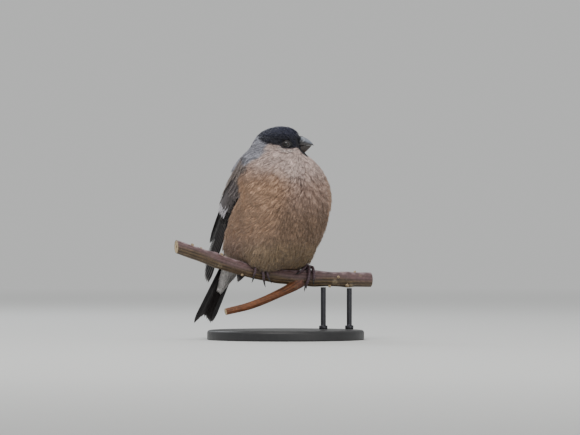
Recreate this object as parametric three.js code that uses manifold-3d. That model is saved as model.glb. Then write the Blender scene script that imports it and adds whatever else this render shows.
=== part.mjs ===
// A hen bullfinch perched on a cut branch over a small display stand, life size, in millimetres.
// The bird faces -Y and its left side is +X. The origin is under the stand, at the middle of its base.
import * as THREE from "three";
import { mergeVertices } from "three/addons/utils/BufferGeometryUtils.js";
import Module from "manifold-3d";

const wasm = await Module();
wasm.setup();

// Driving dimensions
const gap = 0.3; // between pieces that meet
const birdLift = 44.5; // from the floor to the level of the perch's upper side
const birdOffset = [-6, -2]; // of the middle between the feet from the base's middle
const tailLean = rad(32.5); // tail and body axis from upright
const headTurn = rad(33); // head to the bird's left
const perchTurn = rad(-27); // branch from the bird's cross axis
const perchRadius = 4.6;
const eyeRadius = 3.1;
const tailLength = 66;
const wingLength = 84; // from the bend to the tip, folded

function rad(degrees) {
  return (degrees * Math.PI) / 180;
}

const up = new THREE.Vector3(0, 0, 1);
const left = new THREE.Vector3(1, 0, 0);
const tailward = new THREE.Vector3(0, Math.sin(tailLean), -Math.cos(tailLean));
const backward = new THREE.Vector3(0, Math.cos(tailLean), Math.sin(tailLean));

// Geometry helpers

// A closed surface over rings of equal length; each end closes on one point.
function ringSolid(rings, startPoint, endPoint) {
  const count = rings[0].length;
  const mean = (ring) =>
    ring.reduce((sum, p) => sum.add(p), new THREE.Vector3()).divideScalar(ring.length);
  const points = [startPoint || mean(rings[0]), ...rings.flat(), endPoint || mean(rings.at(-1))];
  const last = points.length - 1;
  const index = [];
  for (let j = 0; j < count; j++) {
    const next = (j + 1) % count;
    index.push(0, 1 + next, 1 + j);
    for (let i = 0; i + 1 < rings.length; i++) {
      const a = 1 + i * count + j;
      const b = 1 + i * count + next;
      index.push(a, b, a + count, b, b + count, a + count);
    }
    const foot = 1 + (rings.length - 1) * count;
    index.push(last, foot + j, foot + next);
  }
  return facingOut(points, index);
}

function facingOut(points, index) {
  let volume = 0;
  for (let i = 0; i < index.length; i += 3) {
    const [a, b, c] = [points[index[i]], points[index[i + 1]], points[index[i + 2]]];
    volume += a.dot(b.clone().cross(c));
  }
  if (volume < 0)
    for (let i = 0; i < index.length; i += 3)
      [index[i + 1], index[i + 2]] = [index[i + 2], index[i + 1]];
  return new THREE.BufferGeometry().setFromPoints(points).setIndex(index);
}

function toSolid(geometry) {
  const bare = geometry.clone();
  bare.deleteAttribute("normal");
  bare.deleteAttribute("uv");
  const merged = mergeVertices(bare, 1e-4);
  return new wasm.Manifold(
    new wasm.Mesh({
      numProp: 3,
      vertProperties: new Float32Array(merged.attributes.position.array),
      triVerts: new Uint32Array(merged.index.array),
    }),
  );
}

function toGeometry(solid) {
  const whole = solid.decompose().sort((a, b) => b.volume() - a.volume())[0];
  const mesh = whole.getMesh();
  const points = new Float32Array(mesh.numVert * 3);
  for (let i = 0; i < mesh.numVert; i++)
    points.set(mesh.vertProperties.subarray(i * mesh.numProp, i * mesh.numProp + 3), i * 3);
  return new THREE.BufferGeometry()
    .setAttribute("position", new THREE.BufferAttribute(points, 3))
    .setIndex(new THREE.BufferAttribute(new Uint32Array(mesh.triVerts), 1));
}

function joined(geometries) {
  return geometries.map(toSolid).reduce((whole, piece) => whole.add(piece));
}

// A smooth curve through sizes given at stations, by cubic Hermite pieces.
function through(stations, sizes) {
  const slope = sizes.map((_, i) => {
    const lo = Math.max(i - 1, 0);
    const hi = Math.min(i + 1, sizes.length - 1);
    return (sizes[hi] - sizes[lo]) / (stations[hi] - stations[lo]);
  });
  return (at) => {
    const x = Math.min(Math.max(at, stations[0]), stations.at(-1));
    let i = 0;
    while (i + 2 < stations.length && x > stations[i + 1]) i++;
    const span = stations[i + 1] - stations[i];
    const t = (x - stations[i]) / span;
    const s = t * t * (3 - 2 * t);
    const bend = span * (slope[i] * t * (1 - t) ** 2 - slope[i + 1] * t * t * (1 - t));
    return sizes[i] + (sizes[i + 1] - sizes[i]) * s + bend;
  };
}

// Body

const headCentre = new THREE.Vector3(1, 4.3, 72.5);
const vent = new THREE.Vector3(0, 24, 22); // where the body's axis ends, above the tail's root

// A place on the head: forward, to its left and up from the head's centre.
function onHead(forward, side, height) {
  return new THREE.Vector3(side, -forward, height).applyAxisAngle(up, headTurn).add(headCentre);
}

// Each mass is an ellipsoid: half sizes along X, Y and Z before it leans back and turns left, and how
// far from the seam its surface melts into that of the masses before it.
const masses = [
  { centre: [0, 1.5, 41], half: [32.3, 31, 32], melt: 9 },
  { centre: [0, 7, 22.5], half: [28.5, 29.5, 24.5], melt: 9 },
  { centre: [0, 21.5, 19.5], half: [23, 17, 21], melt: 9, lean: tailLean },
  { centre: [12.5, 1.5, 8], half: [10, 11, 10], melt: 7 },
  { centre: [-12.5, 1.5, 8], half: [10, 11, 10], melt: 7 },
  { centre: [0, 10, 53], half: [23.5, 19, 20], melt: 9 },
  { centre: [0.5, 4.5, 61.5], half: [17.5, 17, 12.5], melt: 8 },
  { centre: headCentre.toArray(), half: [11, 15.2, 12.9], melt: 5, turn: headTurn },
  { centre: onHead(5.3, 0, 3.5).toArray(), half: [9, 9, 8.6], melt: 5, turn: headTurn },
];

function massDistance(point, mass) {
  const p = point.clone().sub(new THREE.Vector3(...mass.centre));
  if (mass.turn) p.applyAxisAngle(up, -mass.turn);
  if (mass.lean) p.applyAxisAngle(left, -mass.lean);
  const [a, b, c] = mass.half;
  const k = Math.hypot(p.x / a, p.y / b, p.z / c);
  const slope = Math.hypot(p.x / (a * a), p.y / (b * b), p.z / (c * c));
  return slope < 1e-9 ? -Math.min(a, b, c) : (k * (k - 1)) / slope;
}

// Distance to the melted masses, negative inside: each is joined to the last by a smooth minimum.
function bodyDistance(point) {
  return masses.reduce((sofar, mass) => {
    const own = massDistance(point, mass);
    const near = Math.max(mass.melt - Math.abs(sofar - own), 0) / mass.melt;
    return Math.min(sofar, own) - (near * near * mass.melt) / 4;
  }, Infinity);
}

const spine = new THREE.CubicBezierCurve3(
  vent,
  vent.clone().addScaledVector(tailward, -22),
  headCentre.clone().addScaledVector(up, -18),
  headCentre,
);

function bodyReach(origin, direction, proud) {
  let [near, far] = [0, 70];
  for (let i = 0; i < 30; i++) {
    const middle = (near + far) / 2;
    const point = origin.clone().addScaledVector(direction, middle);
    if (bodyDistance(point) < proud) near = middle;
    else far = middle;
  }
  return origin.clone().addScaledVector(direction, near);
}

// A ring of the body round its axis; dip tips its rays toward an end, as on a dome.
function bodyRing(at, dip, sides, proud = 0) {
  const origin = spine.getPoint(at);
  const along = spine.getTangent(at);
  const back = along.clone().cross(left).normalize();
  return Array.from({ length: sides }, (_, j) => {
    const turn = (2 * Math.PI * j) / sides;
    const direction = back
      .clone()
      .multiplyScalar(Math.cos(turn) * Math.cos(dip))
      .addScaledVector(left, Math.sin(turn) * Math.cos(dip))
      .addScaledVector(along, Math.sin(dip))
      .normalize();
    return bodyReach(origin, direction, proud);
  });
}

function evenly(count, from, to) {
  return Array.from({ length: count }, (_, i) => from + ((to - from) * i) / (count - 1));
}

const bodySides = 32;
const neckFrom = 0.73; // places of the cuts along the spine
const neckTo = 0.87;
const cutStep = 0.008;

function torsoShell(proud = 0) {
  const rings = [
    ...evenly(6, rad(-78), rad(-10)).map((dip) => bodyRing(0, dip, bodySides, proud)),
    ...evenly(14, 0, neckFrom).map((at) => bodyRing(at, 0, bodySides, proud)),
  ];
  return ringSolid(rings, bodyReach(vent, tailward, proud));
}

function neckShell() {
  return ringSolid(
    evenly(4, neckFrom + cutStep, neckTo).map((at) => bodyRing(at, 0, bodySides)),
  );
}

function headShell() {
  const rings = [
    ...evenly(3, neckTo + cutStep, 1).map((at) => bodyRing(at, 0, bodySides)),
    ...evenly(8, rad(9), rad(80)).map((dip) => bodyRing(1, dip, bodySides)),
  ];
  return ringSolid(rings, null, bodyReach(headCentre, up, 0));
}

// Head

const billRoot = 13; // under the face's feathers, from the head's centre
const billTip = 22.9;
const gape = 1.9; // height of the mouth line above the head's centre
const upperDepth = 5.5;
const lowerDepth = 5.1;
const billHalfWidth = 4.3;
const lowerShare = 0.86; // length of the lower half of the bill
const mouthSag = 0.9; // the mouth line drops toward its corner

function billHalf(isUpper, proud = 0) {
  const share = isUpper ? 1 : lowerShare;
  const rings = evenly(9, 0, 0.985).map((t) => {
    const taper = 1 - t ** 2.1;
    const forward = billRoot + (billTip - billRoot) * share * t;
    const line = gape - mouthSag * (1 - t) ** 2 - (isUpper ? 0.5 * t ** 6 : 0);
    const depth = (isUpper ? upperDepth : lowerDepth) * taper + 0.15 + proud;
    const half = billHalfWidth * (1 - t ** 1.8) * (isUpper ? 1 : 0.9) + 0.12 + proud;
    const sign = isUpper ? 1 : -1;
    const floor = sign * (gap / 2 - proud);
    const arc = evenly(9, 0, Math.PI).map((turn) =>
      onHead(
        forward + proud * (t > 0.9 ? 1 : 0),
        half * Math.cos(turn),
        line + floor + sign * depth * Math.sin(turn) ** 0.85,
      ),
    );
    return [...arc, onHead(forward, 0, line + floor)];
  });
  return ringSolid(rings);
}

function ball(centre, radius, wide = 16, high = 12) {
  return new THREE.SphereGeometry(radius, wide, high).translate(...centre.toArray());
}

const eyePlace = [7.8, 8.9, 2.0];
const lidRadius = 2.5;

function eyeCentre(side) {
  return onHead(eyePlace[0], side * eyePlace[1], eyePlace[2]);
}

function lidRing(side) {
  const ring = new THREE.TorusGeometry(lidRadius, 0.55, 6, 18);
  ring.scale(1, 0.8, 1);
  ring.rotateX(Math.PI / 2).rotateZ(Math.PI / 2 + side * rad(14));
  const seat = onHead(eyePlace[0] - 0.2, side * (eyePlace[1] + 1.85), eyePlace[2]);
  return ring.rotateZ(headTurn).translate(...seat.toArray());
}

function nostril(side) {
  return ball(onHead(16.4, side * 2.8, gape + 3.6), 0.75, 8, 6);
}

// Wings: a folded wing lies on an elliptical sleeve round the body's axis. Along is measured from
// the bend towards the tip, turn from the middle of the back, height out from the sleeve.

const wingLift = 0.75; // of the wing's inner side from the sleeve
const bedMargin = 0.9; // of the body's hollow round the wing
const sleeveStart = new THREE.Vector3(0, 5, 60);
const sleeveStations = [0, 20, 40, 60, 84];
const sleeveHalfWidth = through(sleeveStations, [22.5, 25.6, 23, 17.2, 11]);
const sleeveDepth = through(sleeveStations, [13.5, 15, 14, 11.6, 9.5]);
const sleeveMiddle = through(sleeveStations, [-4, -5, -3.5, 0, 3.4]);

function onSleeve(side, along, turn, height) {
  const half = sleeveHalfWidth(along) + height;
  const depth = sleeveDepth(along) + height;
  return sleeveStart
    .clone()
    .addScaledVector(tailward, along)
    .addScaledVector(backward, sleeveMiddle(along) + depth * Math.cos(turn))
    .addScaledVector(left, side * half * Math.sin(turn));
}

const wingStart = 2;
const upperTurn = through([0, 15, 40, 62, 84], [0.85, 0.45, 0.25, 0.25, 0.8]);
const lowerTurn = through([0, 10, 30, 58, 84], [1.75, 1.82, 1.74, 1.8, 1.9]);

// The wing's upper and lower edges, as turns, drawn together towards both of its ends.
function wingEdges(along, margin = 0) {
  const fromBend = Math.min(Math.max((along - wingStart + margin) / 9, 0.02), 1);
  const fromTip = Math.min(Math.max((wingLength - along + margin) / 16, 0.02), 1);
  const middle = (upperTurn(along) + lowerTurn(along)) / 2;
  const half = ((lowerTurn(along) - upperTurn(along)) / 2) * Math.sqrt(fromBend) * fromTip ** 0.6;
  const more = margin / sleeveDepth(along);
  return [middle - half - (along < 8 ? 1 : 2.2) * more, middle + half + more];
}

// How far a place on the sleeve is round from the wing's lower edge, in millimetres, as a turn.
function turnAt(along, round) {
  return lowerTurn(along) - (2 * round) / (sleeveHalfWidth(along) + sleeveDepth(along));
}

// A closed thin sheet from two grids of points, split into the same triangles on both faces.
function sheetSolid(over, under) {
  const rows = over.length;
  const columns = over[0].length;
  const index = [];
  const at = (face, i, j) => face * rows * columns + i * columns + j;
  const quad = (a, b, c, d) => index.push(a, b, c, b, d, c);
  for (let i = 0; i + 1 < rows; i++) {
    for (let j = 0; j + 1 < columns; j++) {
      quad(at(0, i, j), at(0, i, j + 1), at(0, i + 1, j), at(0, i + 1, j + 1));
      index.push(at(1, i, j), at(1, i + 1, j), at(1, i, j + 1));
      index.push(at(1, i, j + 1), at(1, i + 1, j), at(1, i + 1, j + 1));
    }
    quad(at(1, i, 0), at(0, i, 0), at(1, i + 1, 0), at(0, i + 1, 0));
    const last = columns - 1;
    quad(at(0, i, last), at(1, i, last), at(0, i + 1, last), at(1, i + 1, last));
  }
  for (let j = 0; j + 1 < columns; j++) {
    quad(at(1, 0, j), at(1, 0, j + 1), at(0, 0, j), at(0, 0, j + 1));
    const end = rows - 1;
    quad(at(0, end, j), at(0, end, j + 1), at(1, end, j), at(1, end, j + 1));
  }
  return facingOut([...over.flat(), ...under.flat()], index);
}

// A vane from its root to its rounded tip. The place function puts a point at a length along it, a
// share of its width and a height; rows lie at shared stations, so that neighbours bend alike.
const vaneThick = 0.5;
const vaneStations = [38, 52, 66, 78];

function vane(from, to, place) {
  const rounding = (to - from) * 0.06 + 1.2;
  const shared = vaneStations.filter((along) => along > from + 5 && along < to - rounding - 2);
  const rows = [from, ...shared, to - rounding, to];
  const face = (lift) =>
    rows.map((along) => {
      const fromTip = Math.min((to - along) / (rounding * 1.6), 1);
      const fromRoot = Math.min((along - from) / 8, 1);
      const taper = (0.3 + 0.7 * Math.sqrt(fromTip)) * (0.6 + 0.4 * fromRoot);
      return [0, 0.42, 1].map((share) => {
        const across = 0.42 + (share - 0.42) * taper;
        return place(along, across, lift + (share === 0.42 ? 0.15 : 0));
      });
    });
  return sheetSolid(face(vaneThick), face(0));
}

// Tiers of the folded wing, from the lowest vane to the topmost. Round gives a vane's lower edge from
// the wing's lower edge, at the wing's middle and at the secondaries' tips.
const shingleSlope = 0.33; // each vane dips under the one above it
const shingleRise = 0.3;
const flightFrom = 24;
const primaries = [84, 83.6, 82, 78.5, 73.5, 68].map((to, i) => {
  return { to, round: [1.5 * i, 1.5 * i], width: 5 };
});
const secondaries = [59, 60, 61].map((to, i) => {
  return { to, round: [9 + 2.2 * i, 9 + 1.9 * i], width: 5.5 };
});
const tertials = [61, 57, 51].map((to, i) => {
  return { to, round: [16 + 4 * i, 14.8 + 2.2 * i], width: 7 };
});
const flight = [...primaries, ...secondaries, ...tertials];

// Height of the lower edge of the flight vane whose lower edge is this far round.
const stackHeight = through(
  flight.map((one) => one.round[0]),
  flight.map((_, i) => wingLift + shingleSlope * 5 + shingleRise * i),
);

function roundAt(one, along) {
  const share = Math.min(Math.max((along - 30) / 30, 0), 1.2);
  return one.round[0] + (one.round[1] - one.round[0]) * share;
}

function flightVane(side, one) {
  const low = stackHeight(one.round[0]);
  return vane(flightFrom, one.to, (along, across, height) => {
    const round = roundAt(one, along) + one.width * across;
    return onSleeve(side, along, turnAt(along, round), low - shingleSlope * one.width * across + height);
  });
}

// Coverts and scapulars lie on the pad; each row's vanes rise towards the back.
const covertSlope = 0.12;
const covertRows = [
  { count: 7, from: 20, to: 35.5, first: 0.6, step: 3.6, width: 4.6, lift: 0.8 },
  { count: 5, from: 12, to: 24.5, first: 2, step: 3.9, width: 4.9, lift: 1.3 },
  { count: 3, from: 9, to: 35, first: 16, step: 4.4, width: 6.4, lift: 1.7 },
];
const padOver = 0.9; // of the pad's outer side from the flight vanes' lower edges

function covertVane(side, row, i) {
  const round = row.first + row.step * i;
  const wave = Math.sin(2.1 * i + row.from);
  return vane(row.from, row.to + 0.7 * wave, (along, across, height) => {
    const level = stackHeight(Math.min(round + row.width, 24)) + row.lift - covertSlope * row.width * across;
    const shed = 0.05 * Math.max(along - row.from - 8, 0);
    return onSleeve(side, along, turnAt(along, round + row.width * across), level + height - shed);
  });
}

const padTo = 29;
const padWidth = 30;

// The wing's arm under its coverts: a pad that holds the roots of all the vanes.
function wingPad(side) {
  const rings = evenly(7, wingStart + 0.4, padTo).map((along) => {
    const [upper, lower] = wingEdges(along);
    const shares = evenly(8, 0, 1);
    const place = (share, height) => onSleeve(side, along, lower + (upper - lower) * share, height);
    const early = Math.sqrt(Math.min((along - wingStart) / 9, 1));
    const inner = shares.map((share) => place(share, wingLift));
    const outer = shares
      .slice(1, -1)
      .reverse()
      .map((share) => {
        const round = Math.min(share * padWidth, 24);
        const dome = Math.min(1, 2.6 * Math.sqrt(share * (1 - share)));
        return place(share, wingLift + (stackHeight(round) + padOver - wingLift) * dome * early);
      });
    return [...inner, ...outer];
  });
  return ringSolid(rings);
}

function wing(side) {
  const coverts = covertRows.flatMap((row) =>
    Array.from({ length: row.count }, (_, i) => covertVane(side, row, i)),
  );
  return joined([wingPad(side), ...flight.map((one) => flightVane(side, one)), ...coverts]);
}

// The hollow in the body where the wing lies.
function wingBed(side) {
  const rings = evenly(26, wingStart - 0.5, wingLength + 0.5).map((along) => {
    const [upper, lower] = wingEdges(along, bedMargin);
    const turns = evenly(12, upper, lower);
    return [
      ...turns.map((turn) => onSleeve(side, along, turn, 0)),
      ...turns.reverse().map((turn) => onSleeve(side, along, turn, 16)),
    ];
  });
  return toSolid(ringSolid(rings));
}

// Tail

const tailRoot = sleeveStart.clone().addScaledVector(tailward, 49).addScaledVector(backward, 3.5);

function onTail(along, side, height) {
  return tailRoot
    .clone()
    .addScaledVector(tailward, along)
    .addScaledVector(left, side)
    .addScaledVector(backward, height);
}

// Half of the tail's vanes, from the middle pair on top to the outermost underneath.
const tailPairs = [63, 64.4, 65.4, tailLength, 65.2];
const tailStep = 0.8; // down from each pair to the next
const tailSpread = 1.15; // outward from each pair to the next

function tailVane(side, i) {
  return vane(3, tailPairs[i], (along, across, height) => {
    const fan = 0.55 + (0.45 * along) / tailLength;
    const inner = gap / 2 + fan * tailSpread * i;
    const width = (4.9 - 0.1 * i) * fan;
    return onTail(along, side * (inner + width * across), 1.9 - tailStep * i + height);
  });
}

function tailBase() {
  const rings = evenly(6, -1, 14).map((along) =>
    Array.from({ length: 12 }, (_, j) => {
      const turn = (2 * Math.PI * j) / 12;
      const taper = along > 8 ? 1 - (along - 8) / 24 : 1;
      return onTail(along, 5.6 * taper * Math.cos(turn), 0.5 + 3 * taper * Math.sin(turn));
    }),
  );
  return ringSolid(rings);
}

function tailFan() {
  const vanes = [1, -1].flatMap((side) => tailPairs.map((_, i) => tailVane(side, i)));
  return joined([tailBase(), ...vanes]);
}

const tongue = { from: -6, to: 38, halfWidth: 9.5, depth: 9 };

// The long soft feathers under the tail, a tapered tongue flat against it.
function undertailCoverts(proud = 0) {
  const rings = evenly(9, 0, 0.97).map((t) => {
    const along = tongue.from + (tongue.to - tongue.from) * t;
    const half = tongue.halfWidth * (1 - t ** 2.2) + 0.6 + proud;
    const depth = tongue.depth * (1 - t) ** 0.9 * (1 - 0.35 * t) + 0.5 + proud;
    return Array.from({ length: 12 }, (_, j) => {
      const turn = (Math.PI * j) / 11;
      return onTail(along, half * Math.cos(turn), -3 + proud - depth * Math.sin(turn) ** 0.8);
    });
  });
  return toSolid(ringSolid(rings));
}

// Perch

const perchAcross = new THREE.Vector3(Math.cos(perchTurn), Math.sin(perchTurn), 0);
const perchFront = new THREE.Vector3(Math.sin(perchTurn), -Math.cos(perchTurn), 0);
const perchLow = -66;
const perchHigh = 58;
// Height of the branch's axis at places along it.
const perchHeight = through([-66, -31, -17, 0, 30, 58], [12.5, 0.8, -2.8, -5.7, -7.4, -8]);
const perchBow = through([-66, -20, 0, 30, 58], [-2, 0.5, 0, 0.5, -1]);

function perchSize(at) {
  const knots = [
    { at: -42, swell: 0.5, width: 4 },
    { at: 20, swell: 0.7, width: 6 },
    { at: 43, swell: 0.4, width: 3 },
  ];
  const swell = knots.reduce(
    (sum, knot) => sum + knot.swell * Math.exp(-(((at - knot.at) / knot.width) ** 2)),
    0,
  );
  return perchRadius - 0.35 * (at < 0 ? -at / 66 : 0) + swell;
}

function onPerch(at, front, height) {
  return perchAcross
    .clone()
    .multiplyScalar(at)
    .addScaledVector(perchFront, front + perchBow(at))
    .addScaledVector(up, perchHeight(at) + height);
}

function branch(proud = 0) {
  const sides = 12;
  const rings = evenly(28, perchLow - proud, perchHigh + proud).map((at) =>
    Array.from({ length: sides }, (_, j) => {
      const turn = (2 * Math.PI * j) / sides;
      const size = perchSize(at) + proud + 0.18 * Math.sin(3 * turn + at / 9);
      return onPerch(at, size * Math.cos(turn), size * Math.sin(turn));
    }),
  );
  return toSolid(ringSolid(rings));
}

// The side twig that leaves the branch under the feet and slants away to the bird's right.
const twigPath = new THREE.CatmullRomCurve3([
  onPerch(13, 0.5, -1.5),
  onPerch(6, 2.5, -6),
  onPerch(-6, 5, -12.5),
  onPerch(-22, 7.5, -21.5),
  onPerch(-38, 9, -30),
]);

function twig() {
  const sides = 8;
  const steps = 13;
  const frames = twigPath.computeFrenetFrames(steps - 1);
  const rings = evenly(steps, 0, 1).map((t, i) =>
    Array.from({ length: sides }, (_, j) => {
      const turn = (2 * Math.PI * j) / sides;
      const size = 2.9 - 0.7 * t + 1.1 * Math.exp(-((t / 0.16) ** 2));
      return twigPath
        .getPointAt(t)
        .addScaledVector(frames.normals[i], size * Math.cos(turn))
        .addScaledVector(frames.binormals[i], size * Math.sin(turn));
    }),
  );
  return toSolid(ringSolid(rings));
}

// Feet

// Each foot's place along the branch, and its toes: where each starts and ends along the branch from
// there, how far it wraps from the top in degrees, and how much of it hangs free. The last is the hind toe.
const feet = [
  {
    name: "left",
    side: 1,
    at: 17.2,
    toes: [
      { start: -2.7, end: -7, from: 20, to: 52, thick: 0.95, hang: 0.6 },
      { start: -0.3, end: -2.8, from: 20, to: 112, thick: 1.05, hang: 1.4 },
      { start: 2.2, end: 1.4, from: 20, to: 84, thick: 0.95, hang: 0.8 },
      { start: 0, end: 0.6, from: -22, to: -104, thick: 1.1, hang: 0.5 },
    ],
  },
  {
    name: "right",
    side: -1,
    at: -15,
    toes: [
      { start: 2.4, end: 4.8, from: 20, to: 96, thick: 0.95, hang: 1 },
      { start: 0, end: 2.2, from: 20, to: 104, thick: 1.05, hang: 2.6 },
      { start: -2.4, end: -4.1, from: 20, to: 100, thick: 0.95, hang: 1 },
      { start: 0, end: -0.6, from: -22, to: -104, thick: 1.1, hang: 0.5 },
    ],
  },
];
const wrapShare = 0.8; // of a toe's length, before it leaves the branch

// A toe's middle line: round the branch, then straight on.
function toePoint(foot, toe, t) {
  const at = foot.at + toe.start + (toe.end - toe.start) * t;
  const turn = rad(toe.from + (toe.to - toe.from) * Math.min(t / wrapShare, 1));
  const lie = perchSize(at) + toe.thick + gap + 0.3;
  const onward = Math.sign(toe.to) * toe.hang * Math.max(t - wrapShare, 0) / (1 - wrapShare);
  return onPerch(
    at,
    lie * Math.sin(turn) + onward * Math.cos(turn),
    lie * Math.cos(turn) - onward * Math.sin(turn),
  );
}

function tubeRings(points, radii, sides) {
  const path = new THREE.CatmullRomCurve3(points);
  const frames = path.computeFrenetFrames(radii.length - 1);
  return radii.map((radius, i) =>
    Array.from({ length: sides }, (_, j) => {
      const turn = (2 * Math.PI * j) / sides;
      return path
        .getPointAt(i / (radii.length - 1))
        .addScaledVector(frames.normals[i], radius * Math.cos(turn))
        .addScaledVector(frames.binormals[i], radius * Math.sin(turn));
    }),
  );
}

function toeSolid(foot, toe, proud = 0) {
  const points = evenly(12, 0, 1).map((t) => toePoint(foot, toe, t));
  const radii = evenly(10, 0, 1).map(
    (t) => toe.thick * (1 - 0.25 * t) * (1 + 0.07 * Math.sin(t * Math.PI * 6)) + proud,
  );
  return toSolid(ringSolid(tubeRings(points, radii, 8)));
}

function clawSolid(foot, toe) {
  const tip = toePoint(foot, toe, 1);
  const before = toePoint(foot, toe, 0.93);
  const onward = tip.clone().sub(before).normalize();
  const inwardAxis = perchAcross.clone().multiplyScalar(Math.sign(toe.to));
  const points = [tip.clone().addScaledVector(onward, gap)];
  const heading = onward.clone();
  for (let i = 0; i < 6; i++) {
    points.push(points.at(-1).clone().addScaledVector(heading, 0.85));
    heading.applyAxisAngle(inwardAxis, -rad(11));
  }
  const radii = evenly(6, 0, 0.94).map((t) => toe.thick * 0.66 * (1 - t ** 1.3) + 0.06);
  return toSolid(ringSolid(tubeRings(points, radii, 6), null, points.at(-1)));
}

// The pad of the foot on the branch, and the short stretch of leg between it and the belly's feathers.
function legSolid(foot, proud = 0) {
  const pad = new THREE.SphereGeometry(1, 14, 10);
  pad.scale(3.3 + proud, 1.35 + proud, 1.3 + proud).rotateZ(perchTurn);
  const seat = onPerch(foot.at, 0, perchSize(foot.at) + gap + 1.35);
  pad.translate(...seat.toArray());
  const path = [seat, onPerch(foot.at - foot.side * 5, -2.5, perchSize(foot.at) + 7.5)];
  const shank = ringSolid(tubeRings(path, [1.1, 1.15, 1.2, 1.3].map((r) => r + proud), 10));
  return joined([pad, shank]);
}

// The hollow in the belly's feathers over the toes: a short sleeve round the branch with drawn-in ends.
function toeRoom(foot) {
  const half = 6.5;
  const rings = evenly(9, -1, 1).map((share) => {
    const at = foot.at + share * half;
    const size = perchSize(at) + gap + 2.6 * Math.sqrt(1.02 - share * share);
    return evenly(24, 0, (2 * Math.PI * 23) / 24).map((turn) =>
      onPerch(at, size * Math.cos(turn), size * Math.sin(turn)),
    );
  });
  return toSolid(ringSolid(rings));
}

// Stand

const baseRadius = 48;
const baseThick = 6;
const rodRadius = 1.6;

function standBase() {
  const chamfer = 1.2;
  const profile = [
    [0, 0],
    [baseRadius, 0],
    [baseRadius, baseThick - chamfer],
    [baseRadius - chamfer, baseThick],
    [0, baseThick],
  ].map(([r, h]) => new THREE.Vector2(r, h));
  return new THREE.LatheGeometry(profile, 48).rotateX(Math.PI / 2);
}

const rodPlaces = [27, 44]; // along the branch

// A rod from the base's top up into the branch's underside.
function standRod(at) {
  const head = onPerch(at, 0, 0);
  const foot = baseThick + gap - birdLift;
  const rod = new THREE.CylinderGeometry(rodRadius, rodRadius, head.z - foot, 16);
  rod.rotateX(Math.PI / 2).translate(head.x, head.y, (head.z + foot) / 2);
  return toSolid(rod);
}

// Assembly

const root = new THREE.Group();
const bird = new THREE.Group();
bird.position.set(...birdOffset, birdLift);
root.add(bird);

function add(group, name, shape, look) {
  const geometry = shape.isBufferGeometry ? shape : toGeometry(shape);
  const mesh = new THREE.Mesh(geometry, new THREE.MeshStandardMaterial(look));
  mesh.name = name;
  group.add(mesh);
  return mesh;
}

const looks = {
  cap: { color: 0x15151c, roughness: 0.6, metalness: 0 },
  neck: { color: 0x9a9aa4, roughness: 0.9, metalness: 0 },
  breast: { color: 0x96796a, roughness: 0.9, metalness: 0 },
  vent: { color: 0xcfccc8, roughness: 0.9, metalness: 0 },
  flight: { color: 0x1b1a1f, roughness: 0.5, metalness: 0 },
  bill: { color: 0x4d4a4c, roughness: 0.35, metalness: 0 },
  eye: { color: 0x0c0908, roughness: 0.05, metalness: 0 },
  leg: { color: 0x3b2a30, roughness: 0.5, metalness: 0 },
  claw: { color: 0x1a1517, roughness: 0.35, metalness: 0 },
  bark: { color: 0x7a5f58, roughness: 0.85, metalness: 0 },
  twig: { color: 0x8a5a36, roughness: 0.8, metalness: 0 },
  stand: { color: 0x2b2b2d, roughness: 0.4, metalness: 0 },
};

const perchRoom = branch(gap);

function cutBy(solid, cutters) {
  return cutters.reduce((left, cutter) => left.subtract(cutter), solid);
}

const sides = feet.map((foot) => foot.side);
const beds = sides.map(wingBed);
const footRoom = feet.flatMap((foot) => [legSolid(foot, gap), toeRoom(foot)]);
const torsoRoom = toSolid(torsoShell(gap));
const torso = cutBy(toSolid(torsoShell()), [...beds, perchRoom, ...footRoom]);
const neck = cutBy(toSolid(neckShell()), beds);

const headWithLids = sides.reduce((whole, side) => whole.add(toSolid(lidRing(side))), toSolid(headShell()));
const head = cutBy(headWithLids, [
  ...sides.map((side) => toSolid(ball(eyeCentre(side), eyeRadius + gap))),
  toSolid(billHalf(true, gap)),
  toSolid(billHalf(false, gap)),
]);

add(bird, "head", head, looks.cap);
add(bird, "neck", neck, looks.neck);
add(bird, "torso", torso, looks.breast);
const nostrils = sides.map((side) => toSolid(nostril(side)));
add(bird, "bill_upper", cutBy(toSolid(billHalf(true)), nostrils), looks.bill);
add(bird, "bill_lower", billHalf(false), looks.bill);
add(bird, "tail", cutBy(tailFan(), [torsoRoom]), looks.flight);
add(bird, "undertail_coverts", cutBy(undertailCoverts(), [torsoRoom, perchRoom]), looks.vent);

for (const foot of feet) {
  add(bird, "eye_" + foot.name, ball(eyeCentre(foot.side), eyeRadius, 18, 12), looks.eye);
  add(bird, "wing_" + foot.name, cutBy(wing(foot.side), [perchRoom]), looks.flight);
  const toeRooms = foot.toes.map((toe) => toeSolid(foot, toe, gap));
  add(bird, "leg_" + foot.name, cutBy(legSolid(foot), toeRooms), looks.leg);
  foot.toes.forEach((toe, i) => {
    add(bird, "toe_" + foot.name + "_" + (i + 1), toeSolid(foot, toe), looks.leg);
    add(bird, "claw_" + foot.name + "_" + (i + 1), clawSolid(foot, toe), looks.claw);
  });
}

add(bird, "perch_branch", branch(), looks.bark);
add(bird, "perch_twig", cutBy(twig(), [perchRoom]), looks.twig);
rodPlaces.forEach((at, i) => {
  add(bird, "stand_rod_" + (i + 1), cutBy(standRod(at), [perchRoom]), looks.stand);
});
add(root, "stand_base", standBase(), looks.stand);

export default root;
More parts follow.
